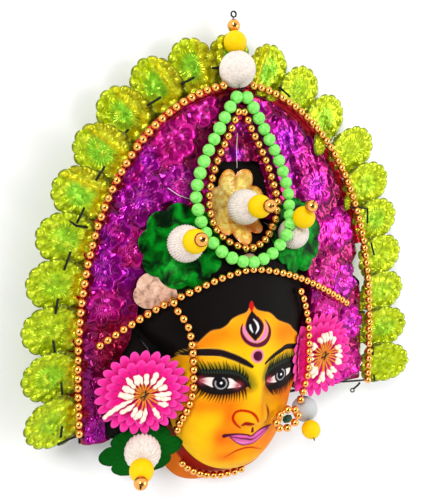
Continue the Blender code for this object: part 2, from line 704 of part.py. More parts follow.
def over_flower(x, y):
    return bed_z(x, y) + LAYER + GAP


def leaf_ground(x, y):
    """The leaf lies in front of the board's lower end and beside the face."""
    return max(BOARD_FRONT, float(face_z(x, y)) if in_face(x, y) else -50.0)


# The ring at the nostril: beads round a green stone, on a short wire

def add_nose_ring():
    centre = np.array([25.6, -210.6, 18.6])
    lean = -0.2
    half = (8.2, 6.1)

    def around(turn, share=1.0):
        x, y = share * half[0] * math.cos(turn), share * half[1] * math.sin(turn)
        return centre + (x, y, lean * x)

    stations = []
    for i in range(8):
        stations.append((around(math.tau * i / 8), BEAD_SHARE * GOLD_BEAD))
        stations.append((around(math.tau * (i + 0.5) / 8), 0.26 * GOLD_BEAD))
    ring = add_gold_string("nose_ring", stations, looped=True)
    rings = [[around(math.tau * i / 8, 0.86) for i in range(8)]]
    body = loft(rings, centre + (0, 0, 3.0), centre - (0, 0, 1.4))
    stone = add_piece("stone", *body, (0.0, 0.12, 0.04), 0.1)
    wire = add_piece("wire", *sweep([((12.3, -207.4, 20.2), 0.6), ((17.6, -209.6, 20.1), 0.6)]), GOLD, 0.3)
    boolean(ring, stone, "UNION")
    boolean(ring, wire, "UNION")


BITE = ((112, -110), (97.6, -110.7), (91, -122.3), (90, -124.4), (96.6, -127.8), (101.8, -132.7), (112, -134))
CUT_Z = (-14.0, 12.0)
OPENING_TOP_Y = -46.0


def cut_crown(board, field, nested):
    """A bite out of the board's right side behind the beads, the field's opening inside the gold drop,
    and the hollow in field and flower where the right-hand ball nests."""
    bite = prism("bite", BITE, *CUT_Z)
    boolean(board, bite, "DIFFERENCE")
    boolean(field, bite, "DIFFERENCE")
    path = Path([(x, y, 0.0) for x, y in both_sides(GOLD_DROP)], closed=True)
    stops = [path.at(s) for s in np.linspace(0.0, path.length, 25)[:-1]]
    drop = [(p[0] * 0.84, min(-60.0 + (p[1] + 60.0) * 0.9, OPENING_TOP_Y)) for p in stops]
    boolean(field, prism("drop", drop, *CUT_Z), "DIFFERENCE")
    radius = 0.5 * RIGHT_BALL_SIZE + 0.8
    turns = np.linspace(0.0, math.tau, 11)[:-1]
    circle = [(RIGHT_BALL[0] + radius * math.cos(a), RIGHT_BALL[1] + radius * math.sin(a)) for a in turns]
    nest = prism("nest", circle, *CUT_Z)
    boolean(field, nest, "DIFFERENCE")
    boolean(nested, nest, "DIFFERENCE")


add_face_mask()
board = add_crown_board()
field = add_foil_field()
add_petals()
add_wires()
add_strings()
cut_crown(board, field, add_flowers())
add_nose_ring()
# Each pin: its white ball's centre and the pin's way
add_pin("finial", (-2.0, 8.6, -1.0), (0.1, 0.88, -0.36))
add_pin("centre_pin", (-0.5, -73.4, 6.5), (0.0, 0.1, 1.0))
add_pin("left_pin", (-43.7, -92.0, 15.5), (-0.11, 0.21, 0.97))
add_pin("right_pin", RIGHT_BALL, (-0.05, 0.67, 0.74), white=RIGHT_BALL_SIZE)
add_pin("left_ear_pin", (-70.6, -216.4, 10.6), (-0.36, -0.1, 0.93))
add_pin("right_ear_pin", (50.5, -215.6, 1.0), (-0.2, -0.56, 0.81), white=SMALL_BALL, with_gold=False)
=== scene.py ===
"""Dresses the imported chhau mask: the painted face, the crown of foil flowers, the beads, balls and cloth
flowers, with a pale floor, soft light and the photograph's camera. Lengths are millimetres from the top of
the arch of beads, as in the part's source, unless a name says otherwise."""

import math

import bmesh
import bpy
import numpy as np
from mathutils import Matrix, Vector


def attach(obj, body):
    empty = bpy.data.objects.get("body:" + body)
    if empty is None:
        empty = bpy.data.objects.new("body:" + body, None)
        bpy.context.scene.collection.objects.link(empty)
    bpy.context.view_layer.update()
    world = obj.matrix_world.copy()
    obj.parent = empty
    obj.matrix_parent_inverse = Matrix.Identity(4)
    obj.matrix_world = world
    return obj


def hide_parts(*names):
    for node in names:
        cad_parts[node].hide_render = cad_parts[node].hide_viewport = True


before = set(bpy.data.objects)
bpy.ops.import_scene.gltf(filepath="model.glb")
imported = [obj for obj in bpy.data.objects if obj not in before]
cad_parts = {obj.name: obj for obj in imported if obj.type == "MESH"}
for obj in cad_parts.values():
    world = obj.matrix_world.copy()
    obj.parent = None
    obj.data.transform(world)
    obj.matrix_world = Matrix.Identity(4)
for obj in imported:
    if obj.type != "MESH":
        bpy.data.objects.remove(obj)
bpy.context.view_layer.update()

MM = 0.001
ARCH_TOP = np.array([0.0, 110.1, 26.0])
GAP = 0.35
random = np.random.default_rng(7)


# Colours, shader nodes and materials

def linear(colour):
    """A linear colour from an sRGB one in hexadecimal digits."""
    parts = [int(colour[i:i + 2], 16) / 255.0 for i in (0, 2, 4)]
    return np.array([c / 12.92 if c <= 0.04045 else ((c + 0.055) / 1.055) ** 2.4 for c in parts])


def add_node(material, kind, inputs=None, **settings):
    """One shader node: an input given as (node, output) is linked, any other is set."""
    tree = material.node_tree
    node = tree.nodes.new("ShaderNode" + kind)
    for name, value in settings.items():
        setattr(node, name, value)
    for name, value in (inputs or {}).items():
        put(material, node, name, value)
    return node


def put(material, node, name, value):
    if isinstance(value, tuple) and hasattr(value[0], "outputs"):
        material.node_tree.links.new(value[0].outputs[value[1]], node.inputs[name])
    else:
        node.inputs[name].default_value = value


def new_material(name, colour, **sockets):
    """A Principled material in one plain colour, with its other sockets set."""
    material = bpy.data.materials.new(name)
    material.use_nodes = True
    shader = material.node_tree.nodes["Principled BSDF"]
    shader.inputs["Base Color"].default_value = (*linear(colour), 1.0)
    for socket, value in sockets.items():
        shader.inputs[socket.replace("_", " ")].default_value = value
    return material, shader


def noise(material, size, detail=3.0, kind="TexNoise", **inputs):
    """A texture whose marks are about that size in millimetres."""
    coords = add_node(material, "TexCoord")
    settings = {"Vector": (coords, "Object"), "Scale": 1.0 / (size * MM)}
    if kind == "TexNoise":
        settings["Detail"] = detail
    settings.update(inputs)
    return add_node(material, kind, settings)


def bump(material, shader, source, depth, strength=1.0):
    """Relief of that depth in millimetres from (node, output)."""
    node = add_node(material, "Bump", {"Strength": strength, "Distance": depth * MM, "Height": source})
    put(material, shader, "Normal", (node, "Normal"))
    return node


def ramp(material, source, stops):
    """A colour ramp over (place, colour) stops."""
    node = add_node(material, "ValToRGB", {"Fac": source})
    colours = node.color_ramp.elements
    while len(colours) < len(stops):
        colours.new(0.5)
    for element, (place, colour) in zip(colours, stops):
        element.position = place
        element.color = (*linear(colour), 1.0)
    return node


def mix(material, share, first, second, way="MIX"):
    node = add_node(material, "Mix", data_type="RGBA", blend_type=way)
    for name, value in ((0, share), (6, first), (7, second)):
        put(material, node, name, value)
    return (node, 2)


def tinted(material, shader, size, dark, light, way="MULTIPLY"):
    """The mesh's painted colour with a fine variation."""
    paint = add_node(material, "VertexColor", layer_name="paint")
    marks = noise(material, size)
    shade = ramp(material, (marks, "Fac"), ((0.3, dark), (0.7, light)))
    put(material, shader, "Base Color", mix(material, 1.0, (paint, "Color"), (shade, "Color"), way))
    return marks


# Shapes

def smooth_step(t):
    t = np.clip(t, 0.0, 1.0)
    return t * t * (3.0 - 2.0 * t)


def face_outwards(mesh):
    """Turns closed shapes to face out and open sheets to face up."""
    shape = bmesh.new()
    shape.from_mesh(mesh)
    bmesh.ops.recalc_face_normals(shape, faces=shape.faces)
    rising = sum(face.normal.z * face.calc_area() for face in shape.faces)
    if rising < 0 and any(edge.is_boundary for edge in shape.edges):
        bmesh.ops.reverse_faces(shape, faces=shape.faces)
    shape.to_mesh(mesh)
    shape.free()


def add_piece(name, points, faces, material, slot=None, nodes=(), colours=None, smooth=True):
    """One mesh on the mask, with the CAD nodes that it stands for."""
    mesh = bpy.data.meshes.new(name)
    mesh.from_pydata(((np.asarray(points, float) + ARCH_TOP) * MM).tolist(), [], faces)
    face_outwards(mesh)
    if smooth:
        mesh.shade_smooth()
    mesh.materials.append(material)
    if colours is not None:
        layer = mesh.color_attributes.new("paint", "FLOAT_COLOR", "POINT")
        layer.data.foreach_set("color", np.column_stack([colours, np.ones(len(colours))]).ravel())
    piece = bpy.data.objects.new(name, mesh)
    bpy.context.scene.collection.objects.link(piece)
    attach(piece, "root")
    if nodes:
        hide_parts(*nodes)
    return piece


def dress(node, material):
    """Gives a CAD node that stays a better material."""
    mesh_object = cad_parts[node]
    mesh_object.data.materials.clear()
    mesh_object.data.materials.append(material)


def combine(parts):
    """One list of points and faces from several."""
    points, faces, base = [], [], 0
    for some_points, some_faces in parts:
        points.append(np.asarray(some_points, float))
        faces += [[base + i for i in face] for face in some_faces]
        base += len(some_points)
    return np.vstack(points), faces


def grid_faces(rows, columns, looped=False):
    """Quads of a grid of points, row after row; looped joins the last column to the first."""
    faces = []
    for row in range(rows - 1):
        for i in range(columns if looped else columns - 1):
            j = (i + 1) % columns
            faces.append((row * columns + i, row * columns + j, (row + 1) * columns + j,
                (row + 1) * columns + i))
    return faces


def disc_faces(rings, sides):
    """Faces of a disc: a pole, which is point 0, and rings of points from it out."""
    faces = [(0, 1 + i, 1 + (i + 1) % sides) for i in range(sides)]
    return faces + [[1 + k for k in face[::-1]] for face in grid_faces(rings, sides, looped=True)]


def square_to(way):
    """Two directions square to a way."""
    way = np.asarray(way, float)
    helper = (0.0, 0.0, 1.0) if abs(way[2]) < 0.9 * np.linalg.norm(way) else (0.0, 1.0, 0.0)
    side = np.cross(way, helper)
    side /= np.linalg.norm(side)
    up = np.cross(side, way)
    return side, up / np.linalg.norm(up)


def turned(centre, way, profile, sides):
    """A turned shape: profile holds (distance along the way, radius)."""
    way = np.asarray(way, float) / np.linalg.norm(way)
    side, up = square_to(way)
    turns = np.arange(sides) * math.tau / sides
    around = np.cos(turns)[:, None] * side - np.sin(turns)[:, None] * up
    rings = [centre + along * way + radius * around for along, radius in profile]
    return np.vstack(rings), grid_faces(len(profile), sides, looped=True)


def tube(points, radii, sides=8):
    """A tube through points, with one radius or one for each."""
    points = np.asarray(points, float)
    radii = np.broadcast_to(radii, len(points))
    ways = np.gradient(points, axis=0)
    side, _ = square_to(ways[0])
    rings = []
    for point, way, radius in zip(points, ways, radii):
        way = way / np.linalg.norm(way)
        side = side - np.dot(side, way) * way
        side /= np.linalg.norm(side)
        up = np.cross(way, side)
        turns = np.arange(sides) * math.tau / sides
        rings.append(point + radius * (np.cos(turns)[:, None] * side + np.sin(turns)[:, None] * up))
    faces = grid_faces(len(points), sides, looped=True)
    faces += [tuple(range(sides))[::-1], tuple(range((len(points) - 1) * sides, len(points) * sides))]
    return np.vstack(rings), faces


class Path:
    """A smooth curve through chosen points, read by its length along itself."""

    def __init__(self, points, closed=False, fine=12):
        points = np.asarray(points, float)
        if closed:
            points = np.vstack([points[-1], points, points[:2]])
        else:
            points = np.vstack([2 * points[0] - points[1], points, 2 * points[-1] - points[-2]])
        samples = []
        for a, b, c, d in zip(points, points[1:], points[2:], points[3:]):
            for t in np.arange(fine) / fine:
                samples.append(0.5 * (2 * b + (c - a) * t + (2 * a - 5 * b + 4 * c - d) * t**2
                    + (3 * b - a - 3 * c + d) * t**3))
        samples.append(points[-2])
        self.samples = np.array(samples)
        steps = np.linalg.norm(np.diff(self.samples, axis=0), axis=1)
        self.lengths = np.append(0.0, np.cumsum(steps))
        self.length = self.lengths[-1]

    def at(self, s):
        return np.array([np.interp(s, self.lengths, column) for column in self.samples.T])


# The arch of beads and the face's surface, from the same sizes as the part's source

ARCH_HALF_WIDTH, ARCH_HEIGHT = 105.5, 200.0
turn = np.linspace(0.0, math.pi / 2, 400)
ARCH = np.stack([np.append(ARCH_HALF_WIDTH * np.sin(turn) ** (2 / 1.85), ARCH_HALF_WIDTH),
    np.append(ARCH_HEIGHT * (np.cos(turn) ** (2 / 2.7) - 1.0), -ARCH_HEIGHT - 30.0)], axis=1)
ARCH_RUN = np.append(0.0, np.cumsum(np.linalg.norm(np.diff(ARCH, axis=0), axis=1)))


def arch_at(s, outward=0.0):
    """A point on the line of beads, s along it from the top (negative to the left), and its outward way."""
    run = abs(s)
    side = -1.0 if s < 0 else 1.0
    here, ahead, behind = (np.array([np.interp(max(r, 0.0), ARCH_RUN, ARCH[:, k]) for k in (0,
        1)]) for r in (run, run + 0.5, run - 0.5) )
    along = (ahead - behind) / np.linalg.norm(ahead - behind)
    out = np.array([-along[1], along[0]])
    point = here + outward * out
    return np.array([side * point[0], point[1]]), np.array([side * out[0], out[1]])


HEAD_Y, NOSE_ROOT_Y = -178.0, -200.0
FACE_EDGE_Z, RIM_Z, SHELL = -8.0, -26.0, 3.2
NOSE_Y = (-216, -211, -207, -203, -195, -180, -166, -155, -145)
NOSE_HEIGHT = (0.0, 2.0, 7.5, 9.5, 8.0, 5.5, 5.5, 2.5, 0.0)
NOSE_WIDTH = (7.0, 7.0, 7.0, 6.5, 5.5, 5.5, 9.0, 10.0, 10.0)
SWELLINGS = ((7.5, -205.5, 3.6, 4.0, 2.5), (21.0, -181.0, 11.0, 6.0, 1.5),
    (20.0, -161.0, 13.0, 5.0, 1.2), (24.0, -203.0, 12.0, 12.0, 1.2), (0.0, -217.5, 12.0, 6.0, 3.2),
    (0.0, -236.0, 11.0, 7.0, 3.0))


def face_reach(x, y):
    """0 at the head's centre and 1 at the face's edge."""
    left = 49.5 + 19.0 * smooth_step((y + 170.0) / 30.0)
    right = 45.5 + 6.0 * smooth_step((y + 165.0) / 30.0) - 4.0 * smooth_step((-185.0 - y) / 18.0)
    power = np.where(y < HEAD_Y, 2.1, 3.0)
    half_height = np.where(y < HEAD_Y, 72.0, 94.0)
    across = (np.abs(x) / np.where(x < 0, left, right)) ** power
    return (across + (np.abs(y - HEAD_Y) / half_height) ** power) ** (1.0 / power)


def rim_reach(x, y):
    left = 52.0 + 20.0 * smooth_step((y + 170.0) / 30.0)
    half_width = np.where(x < 0, left, np.where(y < HEAD_Y, 47.0, 53.0))
    power = np.where(y < HEAD_Y, 3.4, 3.0)
    half_height = np.where(y < HEAD_Y, 87.0, 97.0)
    return ((np.abs(x) / half_width) ** power + (np.abs(y - HEAD_Y) / half_height) ** power) ** (1.0
        / power)


def dome(x, y):
    reach = np.clip(face_reach(x, y), 0.0, 1.0)
    return FACE_EDGE_Z + 27.0 * np.sqrt(np.maximum(1.0 - reach**2.2, 0.0))


def face_z(x, y):
    """The front of the face: brow, eyes, nose, cheeks, lips and chin on the dome."""
    z = dome(x, y) + np.interp(y, NOSE_Y, NOSE_HEIGHT) * np.exp(-((x / np.interp(y, NOSE_Y,
        NOSE_WIDTH)) ** 2))
    for across, up, wide, high, height in SWELLINGS:
        z = z + height * np.exp(-(((np.abs(x) - across) / wide) ** 2) - ((y - up) / high) ** 2)
    return z


def edge_from(centre, turns, reach):
    """How far rays from a centre run before they leave a region of reach 1."""
    near, far = np.zeros(len(turns)), np.full(len(turns), 300.0)
    for _ in range(30):
        middle = 0.5 * (near + far)
        inside = reach(centre[0] + middle * np.cos(turns), centre[1] + middle * np.sin(turns)) < 1.0
        near, far = np.where(inside, middle, near), np.where(inside, far, middle)
    return near


def arch_reach(x, y):
    width = np.interp(-y, -ARCH[:, 1], ARCH[:, 0])
    return np.where(y > 0, 2.0, np.abs(x) / np.maximum(width, 1e-6))


BED_TURNS = np.radians(np.arange(0.0, 360.0, 2.0))
BED_FACE = edge_from((0.0, HEAD_Y), BED_TURNS, face_reach)
BED_ARCH = edge_from((0.0, HEAD_Y), BED_TURNS, arch_reach)


def bed_z(x, y):
    """The ground for strings and flowers: the swell of the foil field, or the face where it is higher."""
    x, y = np.asarray(x, float), np.asarray(y, float)
    angle = np.arctan2(y - HEAD_Y, x) % math.tau
    face_edge = np.interp(angle, BED_TURNS, BED_FACE, period=math.tau)
    arch_edge = np.interp(angle, BED_TURNS, BED_ARCH, period=math.tau)
    out = np.clip((np.hypot(x, y - HEAD_Y) - face_edge) / (arch_edge - face_edge), 0.0, 1.0)
    rise = 4.3 + 4.5 * smooth_step((-y - 85.0) / 40.0) * smooth_step(x / 45.0)
    rise = rise * (1.0 - 0.7 * smooth_step((-y - 150.0) / 25.0))
    field = -3.2 + rise * (1.0 - out) ** 1.3
    return np.maximum(field, np.where(face_reach(x, y) < 1.0, face_z(x, y), -100.0))


# The photograph's camera: its place, its ways and its focal length in pixels of a 422 x 500 picture

CAMERA = np.array([-183.1, -38.1, 342.0])
FORWARD = np.array([0.4243, -0.1603, -0.8912])
UP = np.array([0.0703, 0.9871, -0.1441])
RIGHT = np.cross(FORWARD, UP)
FOCAL, MIDDLE = 625.0, (211.0, 250.0)


def photo_rays(pixels):
    u, v = (np.asarray(pixels, float).reshape(-1, 2) - MIDDLE).T
    return FORWARD + np.outer(u / FOCAL, RIGHT) - np.outer(v / FOCAL, UP)


def on_face(pixels):
    """Where the photograph's pixels meet the face, as x and y."""
    rays = photo_rays(pixels)
    found = np.full((len(rays), 2), np.nan)
    for z in np.arange(45.0, -8.0, -0.05):
        points = CAMERA + ((z - CAMERA[2]) / rays[:, 2])[:, None] * rays
        hit = (face_reach(points[:, 0], points[:, 1]) < 1.0) & (face_z(points[:, 0], points[:, 1]) >= z)
        hit &= np.isnan(found[:, 0])
        found[hit] = points[hit, :2]
    missed = np.isnan(found[:, 0])
    found[missed] = points[missed, :2]
    return found


def on_level(pixels, z):
    """Where the photograph's pixels meet a level plane."""
    rays = photo_rays(pixels)
    return CAMERA + ((z - CAMERA[2]) / rays[:, 2])[:, None] * rays


# Painting: colours mixed over a mesh's points by their distance from strokes and outlines

class Paint:
    """The colours of a set of points, seen in the plane of x and y."""

    def __init__(self, x, y, colour):
        self.x, self.y = x, y
        self.colours = np.tile(linear(colour), (len(x), 1))

    def lay(self, share, colour):
        share = np.clip(share, 0.0, 1.0)[:, None]
        self.colours = self.colours * (1.0 - share) + linear(colour) * share

    def stroke(self, points, widths, colour, soft=0.4, strength=1.0):
        """A brush stroke through points, with widths in millimetres."""
        path = Path(points, fine=6).samples
        widths = np.broadcast_to(widths, len(points))
        spread = np.interp(np.arange(len(path)) / 6.0, np.arange(len(points)), widths)
        best = np.full(len(self.x), 1e9)
        for (ax, ay), (bx, by), wide, narrow in zip(path, path[1:], spread, spread[1:]):
            dx, dy = bx - ax, by - ay
            t = np.clip(((self.x - ax) * dx + (self.y - ay) * dy) / (dx * dx + dy * dy + 1e-9), 0.0,
                1.0)
            away = np.hypot(self.x - ax - t * dx,
                self.y - ay - t * dy) - 0.5 * (wide + t * (narrow - wide))
            best = np.minimum(best, away)
        self.lay(strength * (0.5 - best / soft), colour)

    def depth_in(self, points):
        """How far inside an outline each point is; negative outside."""
        inside = np.zeros(len(self.x), bool)
        best = np.full(len(self.x), 1e9)
        points = np.asarray(points)
        for (ax, ay), (bx, by) in zip(points, np.roll(points, -1, axis=0)):
            dx, dy = bx - ax, by - ay
            t = np.clip(((self.x - ax) * dx + (self.y - ay) * dy) / (dx * dx + dy * dy + 1e-9), 0.0,
                1.0)
            best = np.minimum(best, np.hypot(self.x - ax - t * dx, self.y - ay - t * dy))
            crosses = (ay > self.y) != (by > self.y)
            inside ^= crosses & (self.x < ax + (self.y - ay) * dx / (dy if dy else 1e-9))
        return np.where(inside, best, -best)

    def fill(self, points, colour, soft=0.4, strength=1.0):
        self.lay(strength * (0.5 + self.depth_in(Path(points, closed=True, fine=6).samples) / soft),
            colour)

    def blob(self, centre, half_sizes, colour, strength=1.0):
        """A soft airbrushed spot."""
        away = ((self.x - centre[0]) / half_sizes[0]) ** 2 + ((self.y - centre[1]) / half_sizes[1]) ** 2
        self.lay(strength * np.exp(-away), colour)


# The face: a fine shell with the source's surface, its strokes laid out by the photograph's pixels

FACE_HALF_GRID = 144
FACE_MIDDLE = (0.0, -185.0)
PAINTED_X, PAINTED_TOP, PAINTED_BOTTOM = 42.0, -124.0, -246.0


def face_sheet():
    """A square grid wrapped to the face's outline, closest where the paint is."""
    steps = np.linspace(-1.0, 1.0, 2 * FACE_HALF_GRID + 1)
    a, b = (g.ravel() for g in np.meshgrid(steps, steps))
    wide = np.abs(a) > np.abs(b)
    far = np.maximum(np.abs(a), np.abs(b))
    other = np.where(wide, b, a) / np.where(far == 0, 1.0, np.where(wide, a, b))
    turns = np.where(wide, np.where(a > 0, 0.0, math.pi) + other * math.pi / 4,
        np.where(b > 0, 0.5, 1.5) * math.pi - other * math.pi / 4)
    fan = np.linspace(0.0, math.tau, 721)
    edge = np.interp(turns % math.tau, fan, edge_from(FACE_MIDDLE, fan, face_reach))
    up = np.where(np.sin(turns) > 0, PAINTED_TOP - FACE_MIDDLE[1], FACE_MIDDLE[1] - PAINTED_BOTTOM)
    painted = 1.0 / np.sqrt((np.cos(turns) / PAINTED_X) ** 2 + (np.sin(turns) / up) ** 2)
    painted = np.minimum(painted, 0.9 * edge)
    rest = np.clip((far - 0.84) / 0.16, 0.0, 1.0)
    reach = np.where(far < 0.84, far / 0.84 * painted,
        painted + (edge - painted) * np.sin(rest * math.pi / 2))
    x = FACE_MIDDLE[0] + reach * np.cos(turns)
    y = FACE_MIDDLE[1] + reach * np.sin(turns)
    return x, y, grid_faces(len(steps), len(steps))


x, y, sheet_faces = face_sheet()
z = np.where(face_reach(x, y) > 0.9995, FACE_EDGE_Z, face_z(x, y))
paint = Paint(x, y, "FFC60A")

# Airbrushed yellow and orange, with painted shade down the nose's right side
AIRBRUSH_AND_NOSE_SHADE = (
    ((-36, -152), (18, 14), "F58410", 0.95), ((0, -134), (17, 12), "F58A14", 0.95),
    ((31, -148), (13, 17), "F08410", 0.95), ((0, -166), (14, 10), "FFC818", 0.6),
    ((-25, -194), (24, 7), "EE6C0A", 0.9), ((26, -193), (18, 10), "CC5404", 0.9),
    ((-13, -216), (10, 13), "F4640A", 0.9), ((12, -223), (14, 14), "F06A10", 0.85),
    ((0, -228), (18, 7), "FF8A18", 0.7), ((34, -208), (10, 26), "E66806", 0.9),
    # The olive spot at (9, -190) is painted shade on the nose's right side
    ((22, -234), (9, 12), "F07C0A", 0.7), ((9, -190), (5, 16), "C88A14", 0.6),
    ((-2, -190), (4.5, 16), "FFC814", 0.8), ((-28, -214), (13, 15), "FFC808", 0.7),
    ((0, -243), (14, 5), "F0A818", 0.6), ((-46, -205), (7, 30), "E08A18", 0.6),
)
for spot, half_sizes, colour, strength in AIRBRUSH_AND_NOSE_SHADE:
    paint.blob(spot, half_sizes, colour, strength)
for spot, half_sizes, colour, strength in (((221, 438), (6.0, 9.0), "F05606", 0.8),
    ((226, 457), (8.0, 5.0), "F46206", 0.75), ((273, 440), (6.5, 10.0), "EE5606", 0.75),
    ((229, 416), (4.5, 9.0), "F26206", 0.75), ((222, 334), (13.0, 6.0), "F27608", 0.7),
    ((282, 333), (11.0, 8.0), "F07408", 0.7), ((245, 336), (9.0, 8.0), "F88A10", 0.6),
    # The last spot, darker orange right of the nostril, is painted shade
    ((262, 412), (4.0, 9.0), "D0600C", 0.6)):
    paint.blob(on_face([spot])[0], half_sizes, colour, strength)

# Greenish shadow round the lashes, and the lids' creases
LEFT_LID = on_face([(195.9, 372.4), (204.6, 373.7), (214, 373.5), (223.4, 373.7), (232.8, 374.4),
    (240.8, 377.1), (246.8, 382.4), (250.8, 388.7)])
RIGHT_LID = on_face([(265.4, 379.8), (267.6, 373.8), (273, 368.7), (280.4, 364.7), (287.7, 361.4),
    (295.4, 359)])
paint.stroke(LEFT_LID + (0.0, 2.5), 6.5, "8F9A18", soft=5.0, strength=0.6)
paint.stroke(RIGHT_LID + (0.0, 2.5), 6.5, "8F9A18", soft=5.0, strength=0.6)

# The hair over the forehead, with its pale edge
HAIRLINE = on_face([(172, 358), (179.2, 354.4), (188.6, 350.6), (195.3, 345.3), (200.6, 339.9),
    (207.3, 333.5), (212.7, 330.2), (220.7, 328.7), (227.4, 324.4), (231.4, 319.4), (238.1, 315.4),
    (246.2, 312.1), (249.6, 306.4), (251.2, 301.8), (253.6, 305.4), (257.2, 309.5), (263, 311.1),
    (269, 312.2), (273.4, 315.2), (277.9, 319.6), (283.7, 322), (289.8, 324.5), (294, 329.5),
    (297.5, 336), (299, 345), (300, 356)])
paint.stroke(HAIRLINE, 1.2, "F8B444", soft=0.6, strength=0.7)
HAIR_TOP = np.array([(75, -200), (90, -70), (-90, -70), (-90, -210), (-60, -185), (-52, -172)])
hair_depth = paint.depth_in(np.vstack([Path(HAIRLINE, fine=4).samples, (53, -175), (53, -200),
    HAIR_TOP]))
paint.lay(0.5 + hair_depth / 0.4, "0F0B0A")
paint.stroke(HAIRLINE, 0.5, "4A1410", soft=0.5, strength=0.8)
hair_side = smooth_step((face_reach(x, y) - 0.9) / 0.06) * (x > 0) * (y > -205)
paint.lay(hair_side, "0F0B0A")
paint.fill(on_face([(300, 374), (297.5, 383), (295, 392), (291, 401), (287, 409), (299, 409),
    (306, 390)]), "140C0A")

# The third eye, in its crescent
paint.fill(on_face([(242.9, 322.9), (240.2, 329.6), (241.5, 337.6), (246.9, 344.3), (256.3, 347.6),
    (265.6, 345), (270.3, 337.6), (271, 329.6), (268.3, 322.9), (264.3, 318.8), (267.6, 325.5),
    (268.3, 331.6), (266.3, 337.6), (261.6, 341.6), (256.3, 343), (249.6, 341), (244.9, 336.3),
    (242.6, 330.9)]), "5A0F2E")
paint.fill(on_face([(243.5, 326), (243.2, 331.5), (245.6, 336.5), (250, 341), (256.3, 342.7),
    (261.4, 341.2), (265.8, 337.2), (267.6, 331.4), (266.9, 325), (265.3, 321.6), (265, 327),
    (263.2, 333.5), (259.8, 338.6), (256, 341), (251.2, 338.4), (247.4, 333.4), (245.8, 327.5)]),
    "E284BE")
paint.fill(on_face([(251.6, 309.6), (253.6, 312.2), (257.6, 316.8), (261.6, 321.5), (263.3, 326.2),
    (261.9, 332.2), (258.3, 337.6), (255.6, 341), (252.2, 338.2), (248.2, 333.6), (246.3, 329.6),
    (246, 324.9), (247.6, 318.8), (250.2, 313.5)]), "150A10")
paint.stroke(on_face([(257.6, 316.8), (261.8, 321.5), (263.4, 326.2), (262, 332.2), (258.3, 337.6)]),
    0.9, "6E0C30")
paint.stroke(on_face([(250.2, 313.5), (247.4, 318.8), (245.8, 325), (246.3, 330)]), 0.6, "6E0C30")
paint.fill(on_face([(251.6, 300.6), (253.8, 305), (253.3, 309.4), (251.8, 311.5), (249.9, 309.6),
    (249.2, 305)]), "C81414")
paint.stroke(on_face([(253.6, 319.2), (257, 323.6), (258.2, 328.4), (255.8, 333.4)]),
    (0.5, 1.4, 1.3, 0.4), "F6EEF4")
paint.stroke(on_face([(250.2, 325.4), (250.9, 328.6), (252.9, 332.4)]), (1.3, 1.5, 0.5), "DDE8E4")
paint.stroke(on_face([(254.2, 326.5), (254.4, 330.5)]), 1.2, "18161C")

# The mark between the brows
BINDI = on_face([(258.3, 356.1)])[0]
turns = np.linspace(0.0, math.tau, 13)[:-1]
for radius, colour in ((1.4, "EE8AA0"), (1.0, "4A0A2C")):
    paint.fill(BINDI + radius * np.stack([3.3 * np.cos(turns), 3.0 * np.sin(turns)], axis=1), colour,
        0.5)

# Brows
LEFT_BROW = on_face([(177.9, 353.9), (184.6, 353), (195.3, 352.5), (207.3, 352.3), (220.7, 353.1),
    (234.1, 357.3), (244.8, 362.4), (251.8, 366.4)])
RIGHT_BROW = on_face([(265.6, 363.3), (273, 356.1), (281, 350.3), (288.4, 346.3), (297.1, 343)])
paint.stroke(LEFT_BROW, (1.6, 4.2, 5.2, 5.6, 5.3, 4.9, 4.2, 2.0), "F6C84A", soft=0.7, strength=0.7)
paint.stroke(LEFT_BROW, (0.8, 3.5, 4.5, 4.7, 4.5, 4.2, 3.8, 2.4), "1E1216")
paint.stroke(RIGHT_BROW, (2.0, 3.1, 3.5, 3.8, 3.4), "1E1216")


def paint_eye(lid, lid_widths, white, corners, iris, under, under_widths, lash_way):
    """An eye: lashes, the dark band over it, the white, the iris and the lower lashes."""
    over, below = Path(lid), Path(under)
    paint.stroke(lid + (0.0, 3.0), 5.0, "26300E", soft=6.0, strength=0.7)
    paint.stroke(under - (0.0, 2.2), 4.0, "A03A08", soft=4.0, strength=0.7)
    for s in np.arange(1.0, over.length - 4.0, 1.9):
        base = over.at(s)
        share = s / over.length
        tip = base + np.array([lash_way * (-4.6 + 6.6 * share) + random.uniform(-0.7, 0.7),
            9.8 - 2.8 * share + random.uniform(-2.4, 0.8)])
        bend = 0.5 * (base + tip) + (0.5 * lash_way, 0.0)
        paint.stroke([base, bend, tip], (1.9, 0.95, 0.2), "0A100A", soft=0.4)
    for s in np.arange(1.5, below.length - 1.0, 1.6):
        base = below.at(s)
        share = s / below.length
        tip = base + np.array([lash_way * (-4.4 + 5.8 * share) + random.uniform(-0.5, 0.5),
            -6.6 - 1.2 * share + random.uniform(-0.8, 1.4)])
        paint.stroke([base, 0.5 * (base + tip) + (0.3 * lash_way, 0.0), tip], (1.7, 0.9, 0.15),
            "2A0C06", soft=0.5)
    paint.stroke(lid, lid_widths, "131614", soft=0.5)
    for s in np.arange(2.0, over.length - 3.0, 1.7):
        base = over.at(s)
        paint.stroke([base - (0.0, 0.6), base + (-0.5 * lash_way, 2.1)], (0.8, 0.4), "4E5E48", soft=0.6,
            strength=0.4)
    paint.stroke(under, under_widths, "17100E", soft=0.6)
    paint.fill(np.vstack([lid, under[::-1]]), "1A1210")
    paint.fill(white, "F4E6E2")
    for corner in corners:
        paint.blob(corner, (2.6, 2.0), "B43A52", 0.95)
    turns = np.linspace(0.0, math.tau, 17)[:-1]
    ring = np.stack([np.cos(turns), np.sin(turns)], axis=1)
    paint.fill(iris + 5.2 * ring, "141214")
    paint.stroke(iris + 3.4 * ring[[7, 8, 9, 10, 11, 12, 13, 14, 15, 0, 1, 2, 3]], 0.75, "A8A4A6")
    paint.fill(iris + 2.1 * ring, "0A0A0C")
    paint.fill(iris + (0.1, 0.2) + 0.7 * ring, "FFFFFF")


